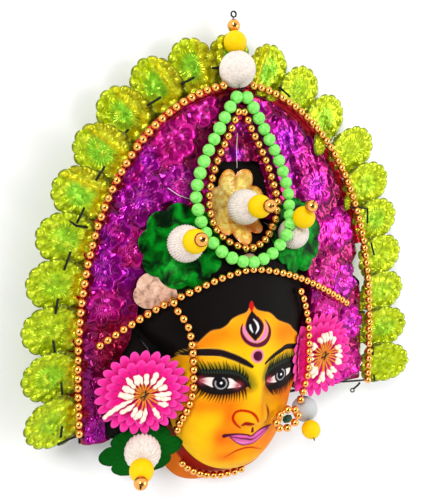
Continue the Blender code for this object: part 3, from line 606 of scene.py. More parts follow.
LEFT_WHITE = on_face([(199.3, 380.2), (204.6, 377.9), (211.3, 377.5), (220.7, 378.2), (230.1, 378.4),
    (235.4, 381.8), (240.8, 386.2), (234.1, 387.6), (226.1, 388.4), (214, 387.6), (208.7, 385.6),
    (203.3, 383)])
LEFT_UNDER = on_face([(195.9, 383.8), (202, 387.8), (210, 391.2), (220.7, 392.6), (230.1, 391.8),
    (239.5, 389.2), (246.8, 386.5)])
paint_eye(LEFT_LID, (4.6, 5.4, 5.4, 5.4, 5.4, 4.4, 2.4, 0.5), LEFT_WHITE,
    on_face([(201.5, 380.6), (237.6, 385.4)]), on_face([(221.1, 383.4)])[0], LEFT_UNDER,
    (2.3, 3.3, 3.5, 3.1, 3.1, 2.7, 0.8), 1.0)
RIGHT_WHITE = on_face([(267, 381.1), (272.3, 377.1), (277.7, 373.1), (284.4, 369.8), (289.8, 367.7),
    (289.1, 372.4), (285.7, 375.8), (280.4, 379.8), (273.7, 382.5)])
RIGHT_UNDER = on_face([(265.6, 383.8), (269.7, 387.2), (277.7, 386.6), (285.7, 382.1), (291.4, 375.1),
    (294.1, 371.1)])
paint_eye(RIGHT_LID, (1.3, 3.6, 4.8, 5.2, 5.2, 4.8), RIGHT_WHITE, on_face([(269.5, 379.9)]),
    on_face([(281, 374.6)])[0], RIGHT_UNDER, (1.3, 2.7, 3.0, 3.0, 2.3, 1.3), -1.0)

# The nose, the mouth and the line under the lip
paint.stroke(on_face([(240.2, 428), (235.2, 423.5), (232.8, 417.8), (235.5, 412.4), (241.5, 410.6),
    (249.6, 411.9), (254.9, 415.3), (258.3, 422)]), (1.0, 1.6, 1.7, 1.6, 1.6, 1.7, 1.8, 1.0), "C41A04")
paint.stroke(on_face([(242.6, 425.4), (246.4, 423.8), (250.6, 424.6), (253.9, 424.2)]),
    (1.6, 2.8, 3.2, 1.0), "A01408")
paint.stroke(on_face([(252.6, 428), (252.4, 431.4)]), (1.4, 2.0), "5A0E28")
paint.fill(on_face([(226.5, 436), (231.5, 434.4), (239.5, 434), (246.9, 434.7), (251.6, 435.6),
    (256.3, 431.6), (261.6, 428), (267, 426), (270, 425), (267.6, 429.5), (263.4, 434.5),
    (258.9, 438.9), (254, 442.5), (249.6, 444.2), (242.9, 444.6), (236.2, 442.3), (231, 438.6)]),
    "DE62AE")
paint.stroke(on_face([(224.4, 435.9), (230.8, 434.7), (238.8, 434.1), (246.9, 434.7), (251.6, 435.8),
    (256.3, 431.8), (261.6, 428.2), (267, 426), (271, 424.5)]),
    (3.0, 1.7, 1.2, 1.2, 1.1, 1.1, 1.4, 1.8, 1.0), "4E0A28")
paint.stroke(on_face([(229.8, 436.6), (240.2, 438.3), (246.9, 438.9), (251.6, 439.4), (257.6, 436.1),
    (264.3, 430), (268.3, 427.4)]), (0.8, 1.0, 1.3, 1.6, 0.9, 0.8, 0.7), "6A1238")
paint.stroke(on_face([(229.8, 437), (236.2, 442.3), (242.9, 445), (249.6, 444.2), (253.9, 442.5),
    (258.9, 438.5), (263.6, 433.2), (267.6, 428.4)]), (0.6, 0.8, 0.9, 0.9, 0.8, 0.7, 0.6, 0.5),
    "7A1440")
# A paler pink band across the lower lip: painted highlight
paint.stroke(on_face([(236, 441), (243, 442.6), (249, 441.8)]), (0.8, 1.8, 0.8), "F08AC8", soft=1.0,
    strength=0.8)
paint.stroke(on_face([(224.1, 457.5), (233.5, 452.1), (241.5, 448.8), (250.9, 447.2), (261.6, 448.5)]),
    (0.3, 1.1, 1.4, 1.2, 0.3), "BC2008", soft=0.6)
# A maroon band down the nose's right side towards the ring: painted shade
paint.stroke(on_face([(266.5, 405), (268, 411), (267.6, 417), (264.5, 422)]), (0.8, 2.6, 3.0, 1.0),
    "8E1A22", soft=1.4)

front = (np.column_stack([x, y, z]), sheet_faces)

# The wall from the jaw and the hair back to the rim, the rim and the inside
WALL_SIDES = 240
turns = np.arange(WALL_SIDES) * math.tau / WALL_SIDES
root = (0.0, NOSE_ROOT_Y)
face_run, rim_run = (edge_from(root, turns, reach) for reach in (face_reach, rim_reach))


def wall_ring(z, out=0.0):
    run = face_run + (FACE_EDGE_Z - z) / (FACE_EDGE_Z - RIM_Z) * (rim_run - face_run) + out
    return np.column_stack([root[0] + run * np.cos(turns), root[1] + run * np.sin(turns),
        np.full(WALL_SIDES, z)])


def inner_ring(share):
    px, py = root[0] + share * face_run * np.cos(turns), root[1] + share * face_run * np.sin(turns)
    lean = np.stack([dome(px + 1, py) - dome(px - 1, py), dome(px, py + 1) - dome(px, py - 1),
        -2.0 + 0 * px])
    return np.stack([px, py, dome(px, py)], axis=1) + SHELL * (lean / np.linalg.norm(lean, axis=0)).T


wall_levels = np.linspace(FACE_EDGE_Z, RIM_Z, 25)
outer_wall = np.vstack([wall_ring(level) for level in wall_levels])
wall_paint = Paint(outer_wall[:, 0], outer_wall[:, 1], "0F0B0A")
on_jaw = smooth_step((-outer_wall[:, 1] - 212.0) / 4.0)
wall_paint.lay(on_jaw, "DE6C00")
wall_paint.lay(on_jaw * smooth_step((outer_wall[:, 2] + 15.5) / 1.5), "96180A")
# Darkest just under the jaw's edge: painted shade
wall_paint.lay(on_jaw * smooth_step((-9.0 - outer_wall[:, 2]) / -1.2), "3A0A0A")
inner_wall = np.vstack([wall_ring(level, -SHELL) for level in (RIM_Z, -20.0, -15.0,
    -11.0)] + [inner_ring(share) for share in np.linspace(0.92, 0.04, 30)])
inner_wall[:, 2] += 0.35 * np.sin(0.31 * inner_wall[:, 0] + 1.3 * np.sin(0.23 * inner_wall[:, 1]))
inner_wall[:, 2] = np.maximum(inner_wall[:, 2], RIM_Z)
raw = np.tile(linear("7A6A58"), (len(inner_wall), 1))
shell_points, shell_faces = combine([front, (outer_wall, grid_faces(len(wall_levels), WALL_SIDES,
    looped=True)), (inner_wall, grid_faces(len(inner_wall) // WALL_SIDES, WALL_SIDES,
    looped=True) + [tuple(range(len(inner_wall) - WALL_SIDES, len(inner_wall)))]), ])
rim_start = len(x) + len(outer_wall) - WALL_SIDES
inner_start = len(x) + len(outer_wall)
shell_faces += [(rim_start + i, rim_start + (i + 1) % WALL_SIDES, inner_start + (i + 1) % WALL_SIDES,
    inner_start + i) for i in range(WALL_SIDES)]
face_material, shader = new_material("painted_papier_mache", "FFC000", Roughness=0.5,
    Specular_IOR_Level=0.05)
tinted(face_material, shader, 9.0, "F2F0EE", "FFFFFF")
bump(face_material, shader, (noise(face_material, 1.6, 4.0), "Fac"), 0.12, 0.35)
add_piece("painted_face", shell_points, shell_faces, face_material, "painted_face", ["face_mask"],
    np.vstack([paint.colours, wall_paint.colours, raw]))

# The crown's board, its wires and the eye that it hangs by
board_material, shader = new_material("black_card", "120D0C", Roughness=0.75, Specular_IOR_Level=0.15)
bump(board_material, shader, (noise(board_material, 0.8, 5.0), "Fac"), 0.15, 0.5)
dress("crown_board", board_material)
wire_material, shader = new_material("black_iron_wire", "0B0A0A", Roughness=0.5, Metallic=0.15,
    Specular_IOR_Level=0.3)
bump(wire_material, shader, (noise(wire_material, 0.7), "Fac"), 0.05, 0.4)
dress("crown_wire", wire_material)
dress("hanging_loop", wire_material)

# Strings of beads: turned balls with a hole at each end, on a thread
gold_material, shader = new_material("gold_bead", "F0AC58", Metallic=1.0, Roughness=0.14)
gold_marks = noise(gold_material, 1.2)
put(gold_material, shader, "Roughness", (add_node(gold_material, "MapRange",
    {"Value": (gold_marks, "Fac"), "To Min": 0.1, "To Max": 0.2}), "Result"))
green_bead_material, shader = new_material("lime_bead", "86E868", Roughness=0.42,
    Specular_IOR_Level=0.3)
marks = noise(green_bead_material, 2.0, 4.0)
put(green_bead_material, shader, "Base Color", (ramp(green_bead_material, (marks, "Fac"), ((0.35,
    "6AD450"), (0.65, "98F478"))), "Color"))
thread_material, shader = new_material("dark_thread", "4A1E0A", Roughness=0.8)
bump(thread_material, shader, (noise(thread_material, 0.4), "Fac"), 0.05)


def bead(centre, way, diameter, sides=16, rows=12):
    falls = np.linspace(0.17, math.pi - 0.17, rows)
    profile = [(-0.5 * diameter * math.cos(f), 0.5 * diameter * math.sin(f)) for f in falls]
    hole = 0.05 * diameter
    profile = [(0.0, hole)] + profile + [(0.0, hole)]
    return turned(centre, way, profile, sides)


def add_string(name, point_at, start, end, diameter, pitch, material, slot, node):
    """Single beads along a route, with their thread."""
    count = max(1, round((end - start) / pitch))
    step = (end - start) / count
    beads = []
    for i in range(count):
        here = start + (i + 0.5) * step
        way = point_at(here + 0.3) - point_at(here - 0.3)
        beads.append(bead(point_at(here), way, diameter * random.uniform(1.0, 1.06)))
    add_piece(name, *combine(beads), material, slot, [node])
    stops = np.linspace(start, end, 4 * count + 1)
    add_piece(name + "_thread", *tube([point_at(s) for s in stops], 0.35, 5), thread_material)


GOLD_BEAD, GOLD_PITCH, GREEN_BEAD, GREEN_PITCH = 5.0, 5.5, 7.4, 7.3


def add_gold_string(name, point_at, start, end, node):
    add_string(name, point_at, start, end, GOLD_BEAD, GOLD_PITCH, gold_material, "gold_beads", node)


def arch_bead(s):
    return np.array([*arch_at(s)[0], 0.0])


add_gold_string("arch_beads_left", arch_bead, -254.0, -9.25, "gold_arch_beads")
add_gold_string("arch_beads_right", arch_bead, 5.75, 256.0, "gold_arch_beads")

GREEN_DROP = ((0, -7), (4.4, -8.4), (10.4, -17.7), (16.8, -29), (23.2, -40), (28.5, -52), (31.9, -65),
    (31.2, -76), (27.5, -87), (21.0, -97), (12.5, -103.2), (0, -106.2))
GOLD_DROP = ((0, -14.6), (2.6, -17.2), (7, -26.7), (12.2, -36.3), (17.1, -46), (20.9, -56.5),
    (23.4, -67), (22.9, -79), (18.7, -88), (11.5, -94.8), (0, -98.4))
SIDE_LEFT = ((-50.1, -129.8), (-47.6, -133.6), (-44.4, -138), (-42.6, -143.6), (-41.2, -151),
    (-39.6, -160.5), (-38.6, -172), (-39.1, -182.8), (-41.2, -193.6), (-43.6, -202.8), (-44.6, -209),
    (-45.0, -213.4))
SIDE_RIGHT = ((36.4, -126.4, 12.4), (40.3, -134.6, 12), (43.4, -143, 10.3), (46.3, -152.2, 9),
    (47.5, -163.5, 8.2), (48.0, -175.5, 8), (47.5, -186.5, 8), (45.5, -194.5, 8), (43.0, -203, 8),
    (41.2, -207.2, 8))


def drop_path(points, diameter):
    route = []
    for px, py in list(points) + [(-px, py) for px, py in points[-2:0:-1]]:
        over_flowers = 2.2 * float(smooth_step((-py - 62.0) / 10.0))
        by_ball = math.exp(-(((px - 25.0) / 8.0) ** 2) - ((py + 88.5) / 10.0) ** 2) * (diameter > GOLD_BEAD)
        height = float(bed_z(px, py)) + 0.5 * diameter + GAP + over_flowers
        route.append((px - 2.4 * by_ball, py, height + 10.2 * by_ball))
    return Path(route, closed=True)


def hairline_point(px):
    away = abs(px) / 94.0
    py = -111.0 - 40.7 * away**1.6
    return (px, py, max(14.6 - 14.2 * away**1.8, float(bed_z(px, py)) + 2.5 + GAP))


hairline = Path([hairline_point(px) for px in np.linspace(-94.0, 83.0, 24)])
add_gold_string("hairline_beads", hairline.at, 0.0, hairline.length, "gold_hairline_beads")
left = Path([tuple(on_level([(171.5, 298.5)], 12.6)[0])] + [(px, py,
    float(bed_z(px, py)) + 2.5 + GAP + 1.6) for px, py in SIDE_LEFT[1:]])
add_gold_string("side_beads_left", left.at, 0.0, left.length, "gold_side_beads_left")
right = Path(SIDE_RIGHT)
add_gold_string("side_beads_right", right.at, 0.0, right.length, "gold_side_beads_right")
green = drop_path(GREEN_DROP, GREEN_BEAD)
add_string("green_drop_beads", green.at, 0.0, green.length, GREEN_BEAD, GREEN_PITCH, green_bead_material,
    "green_beads", "green_teardrop_beads")
gold = drop_path(GOLD_DROP, GOLD_BEAD)
add_gold_string("gold_drop_beads", gold.at, 0.0, gold.length, "gold_teardrop_beads")
chin_turns = np.radians(np.linspace(227.0, 281.0, 9))
chin_run = [edge_from(root, chin_turns, reach) for reach in (face_reach, rim_reach)]
chin_run = chin_run[0] + 4.0 / 18.0 * (chin_run[1] - chin_run[0]) + 2.5 + GAP + 1.2
chin = Path(np.column_stack([root[0] + chin_run * np.cos(chin_turns),
    root[1] + chin_run * np.sin(chin_turns), np.full(9, -12.0)]))
add_gold_string("chin_beads", chin.at, 0.0, chin.length, "gold_chin_beads")

# The lime foil rosettes round the crown: a ring of bubbles round fine pleats
PETAL_OUT, PETAL_HALF_LENGTH, PETAL_HALF_WIDTH, BUBBLES = 15.0, 17.0, 15.2, 13
PETAL_LEANS = (0.33, 0.2, 0.1, 0.1, 0.13, 0.16, 0.12)
BEHIND_Z = (-12.6, -13.1, -13.6)
lime_material, shader = new_material("lime_foil", "A9C800", Roughness=0.19, Metallic=0.42,
    Specular_IOR_Level=0.3)
tinted(lime_material, shader, 2.6, "B4B890", "FFFFFF")
crinkle = noise(lime_material, 1.8, 3.0)
bump(lime_material, shader, (crinkle, "Fac"), 0.6, 0.7)


def petal_stops():
    run = np.arange(0.0, 242.1, 0.5)
    line = np.array([arch_at(max(s, 0.01), PETAL_OUT)[0] for s in run])
    length = np.append(0.0, np.cumsum(np.linalg.norm(np.diff(line, axis=0), axis=1)))
    return np.interp(np.linspace(0.0, length[-1], 11), length, run)


def rosette(sides=168, rings=26, seed=0):
    """A rosette's points as shares of its half sizes, with heights in millimetres."""
    dice = np.random.default_rng(seed)
    turns = np.tile(np.arange(sides) * math.tau / sides, rings)
    shares = np.repeat(np.linspace(1.0 / rings, 1.0, rings), sides)
    off = ((turns * BUBBLES / math.tau + 0.5) % 1.0 - 0.5) * math.tau / BUBBLES * 0.86
    reach = 0.89 + 0.125 * np.sqrt(np.maximum(1.0 - (off / 0.215) ** 2, 0.0))
    fill_in = 0.16 * np.maximum(-np.cos(turns), 0.0) * np.abs(np.sin(turns)) * 2.0
    radii = shares * reach * (1.0 + fill_in)
    from_bubble = np.hypot(radii / (1.0 + fill_in) - 0.85, off) / 0.15
    height = 2.7 * np.sqrt(np.maximum(1.0 - from_bubble**2, 0.0))
    pleats = smooth_step((radii - 0.12) / 0.1) * smooth_step((0.66 - radii) / 0.08)
    height += pleats * (0.04, 0.06, 0.24)[dice.integers(3)] * np.cos(turns * 30)
    height -= 0.8 * np.exp(-((radii / 0.13) ** 2))
    x, y = radii * np.cos(turns), radii * np.sin(turns)
    for _ in range(44):
        away = np.hypot(x - dice.uniform(-0.75, 0.75), y - dice.uniform(-0.75,
            0.75)) / dice.uniform(0.06, 0.14)
        height += dice.uniform(-0.9, 1.7) * np.exp(-away**2)
    for _ in range(4):
        way = dice.uniform(0.0, math.pi)
        height += 0.3 * np.abs(np.sin((x * math.cos(way) + y * math.sin(way)) * dice.uniform(4.0, 9.0)))
    return radii, turns, height


def add_rosette(number, s, from_bottom):
    side = 0.0 if s == 0 else math.copysign(1.0, s)
    base, out = arch_at(s if s else 0.01)
    along = np.array([-out[1], out[0]])
    crownward = along * (1.0 if along[1] > 0 else -1.0) * abs(side)
    lean = PETAL_LEANS[from_bottom] if from_bottom < 7 else 0.0
    at_beads = -5.0 if from_bottom < 7 else (-16.2 if s == 0 else BEHIND_Z[from_bottom - 7])
    radii, turns, height = rosette(seed=number)
    radii, turns, height = (np.append(first, values) for first,
        values in ((0, radii), (0, turns), (0, height)))
    radial = PETAL_OUT + radii * PETAL_HALF_LENGTH * np.cos(turns)
    across = radii * PETAL_HALF_WIDTH * np.sin(turns)
    spot = base + radial[:, None] * out + across[:, None] * along
    z = at_beads + lean * radial + 0.12 * across * float(np.dot(crownward, along)) + 0.55 * height
    folded = 6 <= number <= 12
    to_side = radii * np.sin(turns) * (-1.0 if side < 0 else 1.0)
    fold = np.exp(-(((to_side - 0.42) / 0.12) ** 2)) * folded
    fold *= smooth_step((1.0 - radii) / 0.1)
    z = z + 1.3 * fold
    green_share = (0.15, 0.4, 0.6)[number % 3]
    tint = Paint(spot[:, 0], spot[:, 1], "BCD400" if number < 8 else "CEE200")
    tint.lay(smooth_step((0.66 - radii) / 0.35) * (0.85 if folded else green_share), "86D828")
    tint.lay(smooth_step((-np.cos(turns) * radii - 0.4) / 0.35) * 0.75, "E0C800")
    # Lighter where the bubbles stand high: painted highlight
    tint.lay(smooth_step((height - 1.0) / 0.8) * 0.7, "DCF030")
    # Yellow along the fold's ridge: painted highlight on its lit side; darker beyond it: painted shade
    tint.lay(fold, "E8DC00")
    tint.lay(folded * smooth_step((to_side - 0.5) / 0.15) * 0.85, "C0B800")
    # Darker where the sheet lies low outside the middle: painted shade
    tint.lay(smooth_step((0.5 - height) / 0.8) * 0.7 * smooth_step((radii - 0.5) / 0.2), "6C7800")
    tint.lay(smooth_step((radii - 0.93) / 0.06) * 0.85, "565C00")
    add_piece(f"lime_rosette_{number:02d}", np.column_stack([spot, z]), disc_faces(26, 168),
        lime_material, "lime_foil", [f"foil_petal_{number:02d}"], tint.colours)


stops = petal_stops()
for i in range(21):
    add_rosette(i + 1, float(np.sign(i - 10) * stops[abs(i - 10)]), 10 - abs(i - 10))

TABS = (((361.0, 301.0), (5.5, 7.5), -6.0), ((359.5, 318.0), (5.0, 6.5), -6.0),
    ((361.0, 335.0), (4.5, 6.0), -6.0), ((319.5, 144.0), (4.6, 7.4), -1.7),
    ((261.5, 93.0), (4.4, 2.2), -1.6), ((271.5, 97.5), (4.4, 2.4), -1.6),
    ((346.5, 203.0), (2.4, 5.0), -1.8))
parts, tints = [], []
for pixel, half, level in TABS:
    spot = on_level([pixel], level)[0]
    radii, turns, height = rosette(60, 12, int(pixel[1]))
    radii, turns, height = (np.append(first, values) for first,
        values in ((0, radii), (0, turns), (0, height)))
    parts.append((np.column_stack([spot[0] + half[0] * radii * np.cos(turns),
        spot[1] + half[1] * radii * np.sin(turns), spot[2] + 0.5 * height]), disc_faces(12, 60)))
    tint = Paint(turns, turns, "C4D000")
    tint.lay(smooth_step((radii - 0.7) / 0.3) * 0.8, "5A5A10")
    tints.append(tint.colours)
add_piece("lime_tabs", *combine(parts), lime_material, "lime_foil", colours=np.vstack(tints))

# The bed of magenta, purple and red foil flowers, with a red strip under the arch's beads
FIELD_COLUMNS, FIELD_ROWS = 520, 90
FOIL_FLOWERS = [(-43.1, -32.4, 17), (-63.6, -66.8, 17), (-87.8, -106.4, 15), (-88.2, -128.8, 13),
    (-70, -95, 13), (-24, -15, 12), (33.6, -31.6, 16), (58.2, -61.6, 17), (66.5, -148.3, 15),
    (77.4, -92.9, 15), (83, -128.2, 14), (73, -173, 15), (-40, -60, 14), (50, -45, 12), (70, -118, 14),
    (14, -14, 11), (90, -160, 14), (92, -190, 13), (60, -95, 13), (-92, -155, 12), (-95, -183, 12),
    (-92, -205, 12), (-72, -50, 11), (-80, -85, 12), (0, -24, 9), (62, -128, 12), (78, -195, 13),
    (-60, -45, 10)]
foil_material, shader = new_material("magenta_foil", "C0008C", Roughness=0.13, Metallic=0.68,
    Specular_IOR_Level=0.3, Coat_Weight=0.12, Coat_Roughness=0.06)
tinted(foil_material, shader, 6.0, "A87898", "FFFFFF")
bump(foil_material, shader, (noise(foil_material, 4.5, 1.5), "Fac"), 1.6, 0.6)


def in_board(px, py, inset):
    width = np.interp(-py, -ARCH[:, 1], ARCH[:, 0])
    slope = np.interp(-py + 0.5, -ARCH[:, 1], ARCH[:, 0]) - np.interp(-py - 0.5, -ARCH[:, 1],
        ARCH[:, 0])
    inside = np.abs(px) < width - inset * np.hypot(1.0, slope)
    return inside & (py < -inset) & (py > np.where(px < 0, -212.0, -204.0))


def in_dark_side(px, py):
    return (px < 0) & (py < -140.0) & (px > -88.0 + 18.0 * smooth_step((py + 182.0) / 36.0))


def foil_relief(px, py):
    """Heights and tints of foil flowers side by side, over crumpled red foil."""
    best = np.full(len(px), -1.9)
    tones = Paint(px, py, "9C0458")
    dice = np.random.default_rng(3)
    for _ in range(60):
        spot = (dice.uniform(-100, 100), dice.uniform(-210, -5))
        tones.blob(spot, (dice.uniform(4, 9), dice.uniform(4, 9)),
            ("C0088A", "A000A0", "B00050")[dice.integers(3)], 0.8)
    for fx, fy, radius in FOIL_FLOWERS:
        lobes = int(dice.integers(6, 9))
        phase = dice.uniform(0.0, math.tau)
        away, angle = np.hypot(px - fx, py - fy) / radius, np.arctan2(py - fy, px - fx)
        petal = np.abs(np.cos(0.5 * lobes * angle + phase))
        reach = 0.78 + 0.27 * petal**0.6
        share = away / reach
        rise = 2.3 * np.sqrt(np.maximum(1.0 - share**2, 0.0)) - 2.4
        rise += 1.2 * petal**0.5 * np.exp(-(((share - 0.74) / 0.17) ** 2))
        burst = smooth_step((share - 0.06) / 0.1) * smooth_step((0.55 - share) / 0.12)
        rise += 0.35 * np.cos(24.0 * angle + 0.5) * burst - 0.9 * np.exp(-((share / 0.13) ** 2))
        over = (share < 1.0) & (rise > best)
        best = np.where(over, rise, best)
        tone = ("CC008A", "D800A8", "B400A4", "BC0078", "E00A98")[int(dice.integers(0, 5))]
        tones.colours = np.where(over[:, None], linear(tone), tones.colours)
        tones.lay(over * smooth_step((0.5 - share) / 0.3) * 0.6,
            ("E8109C", "B400CC", "F010A8")[dice.integers(3)])
        # Pale pink along the starburst's ridges: painted highlight
        tones.lay(over * burst * smooth_step((np.cos(24.0 * angle + 0.5) - 0.72) / 0.2) * 0.7, "FF70D8")
        # Dark towards each flower's edge: painted shade in the creases
        tones.lay(over * smooth_step((share - 0.8) / 0.2) * 0.85, "54003A")
    for _ in range(6):
        way, size, phase = dice.uniform(0.0, math.pi), dice.uniform(6.0, 14.0), dice.uniform(0.0,
            math.tau)
        wave = (px * math.cos(way) + py * math.sin(way)) * math.pi / size + phase
        best += 0.28 * np.abs(np.sin(wave)) - 0.14
    for _ in range(40):
        spot = (dice.uniform(-100, 100), dice.uniform(-210, -5))
        tones.blob(spot, (dice.uniform(2, 5), dice.uniform(2, 5)),
            ("9C00B0", "F01CB4", "B00448")[dice.integers(3)], 0.65)
    plain = smooth_step((-py - 130.0) / 14.0) * smooth_step((-px - 60.0) / 6.0)
    tones.lay(plain * 0.8, "A00840")
    tones.blob((-98.0, -168.0), (7.0, 40.0), "8A0078", 0.9)
    tones.blob((-93.0, -205.0), (12.0, 10.0), "A800A8", 0.95)
    tones.blob((-84.0, -158.0), (11.0, 16.0), "AC0A34", 0.8)
    tones.blob((34.0, -34.0), (13.0, 15.0), "9C00C0", 0.6)
    tones.blob((56.0, -66.0), (12.0, 12.0), "B000B4", 0.5)
    tones.blob((0.0, -36.0), (10.0, 14.0), "98083C", 0.8)
    tones.blob((-1.5, -41.5), (5.0, 4.0), "8A00B0", 0.95)
    return best, tones


def add_foil_bed():
    left_end, right_end = (math.atan2(-212.0 - HEAD_Y, -90.0) % math.tau,
        math.atan2(-204.0 - HEAD_Y, 62.0))
    turns = np.linspace(left_end, right_end, FIELD_COLUMNS)
    middle = (0.0, HEAD_Y)
    outer = edge_from(middle, turns, lambda px, py: np.where(in_board(px, py, 2.2), 0.0, 2.0))
    inner = edge_from(middle, turns, lambda px, py: np.where((face_reach(px,
        py) < 1.0) | in_dark_side(px, py), 0.0, 2.0))
    inner = np.minimum(inner + 0.8, outer - 4.0)
    shares = np.linspace(0.0, 1.0, FIELD_ROWS)
    run = outer[None, :] + shares[:, None] * (inner - outer)[None, :]
    px = (run * np.cos(turns)).ravel()
    py = (HEAD_Y + run * np.sin(turns)).ravel()
    relief, tones = foil_relief(px, py)
    height = bed_z(px, py) + np.minimum(relief, 0.9)
    edge = np.minimum(np.minimum(shares, 1.0 - shares) / 0.04, 1.0).repeat(FIELD_COLUMNS)
    height = -7.1 + (height + 7.1) * smooth_step(edge * 0.85 + 0.15)
    from_edge = (outer[None, :] - run).ravel()
    wavy = 3.6 + 1.6 * np.sin(0.23 * py + 0.3 * px) + 1.2 * np.sin(0.61 * py)
    tones.lay(smooth_step((wavy - from_edge) / 2.0) * 0.9, "A00418")
    drop = Path(list(GOLD_DROP) + [(-qx, qy) for qx, qy in GOLD_DROP[-2:0:-1]], closed=True).samples
    drop = [(qx * 0.84, min(-60.0 + (qy + 60.0) * 0.9, -46.0)) for qx, qy in drop]
    hole = Paint(px, py, "000000").depth_in(drop) > 0.3
    hole |= np.hypot(px - 34.8, py + 91.8) < 10.6
    hole |= (px > 91.0) & (py < -110.5) & (py > -133.0) & (np.hypot(px - 104.0, py + 121.0) < 13.5)
    faces = [f for f in grid_faces(FIELD_ROWS, FIELD_COLUMNS) if not hole[list(f)].any()]
    add_piece("magenta_foil_bed", np.column_stack([px, py, height]), faces, foil_material,
        "magenta_foil", ["magenta_foil_flowers"], tones.colours)


add_foil_bed()

red_material, shader = new_material("red_foil", "A00418", Roughness=0.25, Metallic=0.75)
bump(red_material, shader, (noise(red_material, 2.0, 4.0), "Fac"), 0.6, 0.7)
strip = []
for s in np.arange(-250.0, 152.1, 1.0):
    s = s if s else 0.01
    tab = 3.8 * max(0.0, math.sin(s / 4.7 + 1.5 * math.sin(s / 9.0))) * smooth_step((-s - 110.0) / 25.0)
    for outset, level in ((1.2 + tab, -6.0), (0.0, -4.4), (-2.2, -4.4), (-6.0, -7.0)):
        strip.append((*arch_at(s, outset)[0], level + 0.35 * math.sin(s / 1.7 + outset)))
add_piece("red_foil_strip", strip, grid_faces(len(strip) // 4, 4), red_material, "magenta_foil")

# Flowers of green foil, of amber plastic, and the patch of peach cloth
green_material, shader = new_material("green_foil", "00642A", Roughness=0.4, Specular_IOR_Level=0.08,
    Metallic=0.2)
marks = noise(green_material, 9.0, 2.5, Distortion=0.6)
shade = ramp(green_material, (marks, "Fac"), ((0.38, "001A04"), (0.5, "005A0C"), (0.62, "008E1C")))
put(green_material, shader, "Base Color", (shade, "Color"))
bump(green_material, shader, (noise(green_material, 6.0, 2.0), "Fac"), 2.0, 0.5)


def soft_flower(centre, half_sizes, lobes, tooth, relief, ground, sides=144, rings=24, turn=0.0):
    """A lobed sheet: relief(share, angle) is its height over the ground in millimetres."""
    turns = np.append(0.0, np.tile(np.arange(sides) * math.tau / sides, rings))
    shares = np.append(0.0, np.repeat(np.linspace(1.0 / rings, 1.0, rings), sides))
    lobe = np.abs(np.cos(0.5 * lobes * (turns - turn)))
    reach = 1.0 - tooth * (1.0 - lobe**0.7)
    px = centre[0] + half_sizes[0] * shares * reach * np.cos(turns)
    py = centre[1] + half_sizes[1] * shares * reach * np.sin(turns)
    return np.column_stack([px, py, ground(px, py) + relief(shares, turns, lobe)]), disc_faces(rings,
        sides), shares, turns


def green_relief(share, turns, lobe):
    return 0.7 + 1.3 * np.sqrt(np.maximum(1.0 - share**3,
        0.0)) + 0.5 * np.abs(np.sin(turns * 4 + 5 * share)) * share


def add_green_flower(name, centre, half_sizes, node, hole=None):
    points, faces, _, _ = soft_flower(centre, half_sizes, 9, 0.13, green_relief, bed_z, turn=0.2)
    if hole is not None:
        away = np.hypot(points[:, 0] - hole[0], points[:, 1] - hole[1]) < hole[2]
        faces = [f for f in faces if not away[list(f)].any()]
    add_piece(name, points, faces, green_material, "green_foil", [node])


add_green_flower("green_flower_left", (-41.5, -95.2), (26.0, 25.4), "green_foil_flower_left")
add_green_flower("green_flower_right", (39.5, -93.8), (21.0, 24.5), "green_foil_flower_right",
    (34.8, -91.8, 10.0))

amber_material, shader = new_material("amber_plastic", "D88A14", Roughness=0.12, Specular_IOR_Level=0.7)
tinted(amber_material, shader, 3.2, "D8B058", "FFFFF4")
bump(amber_material, shader, (noise(amber_material, 3.0, 2.0), "Fac"), 1.2, 0.7)


def amber_ground(px, py):
    return np.where(face_reach(px, py) < 1.0, np.maximum(face_z(px, py), -7.5), -7.5)


points, faces, shares, turns = soft_flower((-0.4, -72.8), (19.4, 23.6), 7, 0.24, lambda share, turns,
    lobe: 0.8 + 2.4 * share * lobe + 1.2 * np.exp(-(((share - 0.9) / 0.1) ** 2)), amber_ground,
    turn=1.12)
tint = Paint(points[:, 0], points[:, 1], "FFF08A")
tint.lay(smooth_step((shares - 0.8) / 0.2) * 0.85, "F09418")
tint.lay(smooth_step((np.abs(np.sin(3.5 * (turns - 1.12))) - 0.85) / 0.15) * shares * 0.7, "C87010")
tint.blob((8.0, -86.0), (7.0, 7.0), "E07808", 0.9)
tint.blob((-10.0, -70.0), (6.0, 9.0), "E0E0A0", 0.7)
add_piece("amber_plastic_flower", points, faces, amber_material, "amber_plastic", ["amber_flower"],
    tint.colours)

peach_material, shader = new_material("peach_cloth", "DCA888", Roughness=0.95, Sheen_Weight=0.6)
marks = noise(peach_material, 4.0, 6.0, Distortion=0.4)
shade = ramp(peach_material, (marks, "Fac"), ((0.3, "7E6454"), (0.46, "D2A288"), (0.7, "E8C8B0")))
put(peach_material, shader, "Base Color", (shade, "Color"))
bump(peach_material, shader, (noise(peach_material, 1.0, 5.0), "Fac"), 0.6, 0.8)
PEACH_SPOTS = (((-59.0, -121.2), (12.6, 11.4), 0.2), ((1.5, -106.0), (6.0, 4.0), 0.1))
patches = [soft_flower(centre, half, 3, tooth, lambda share, turns, lobe: 0.2 + 0.5 * (1 - share**2),
    bed_z, 60, 10, 1.75)[:2] for centre, half, tooth in PEACH_SPOTS]
add_piece("peach_patch", *combine(patches), peach_material, "peach_cloth", ["peach_cloth_patch"])

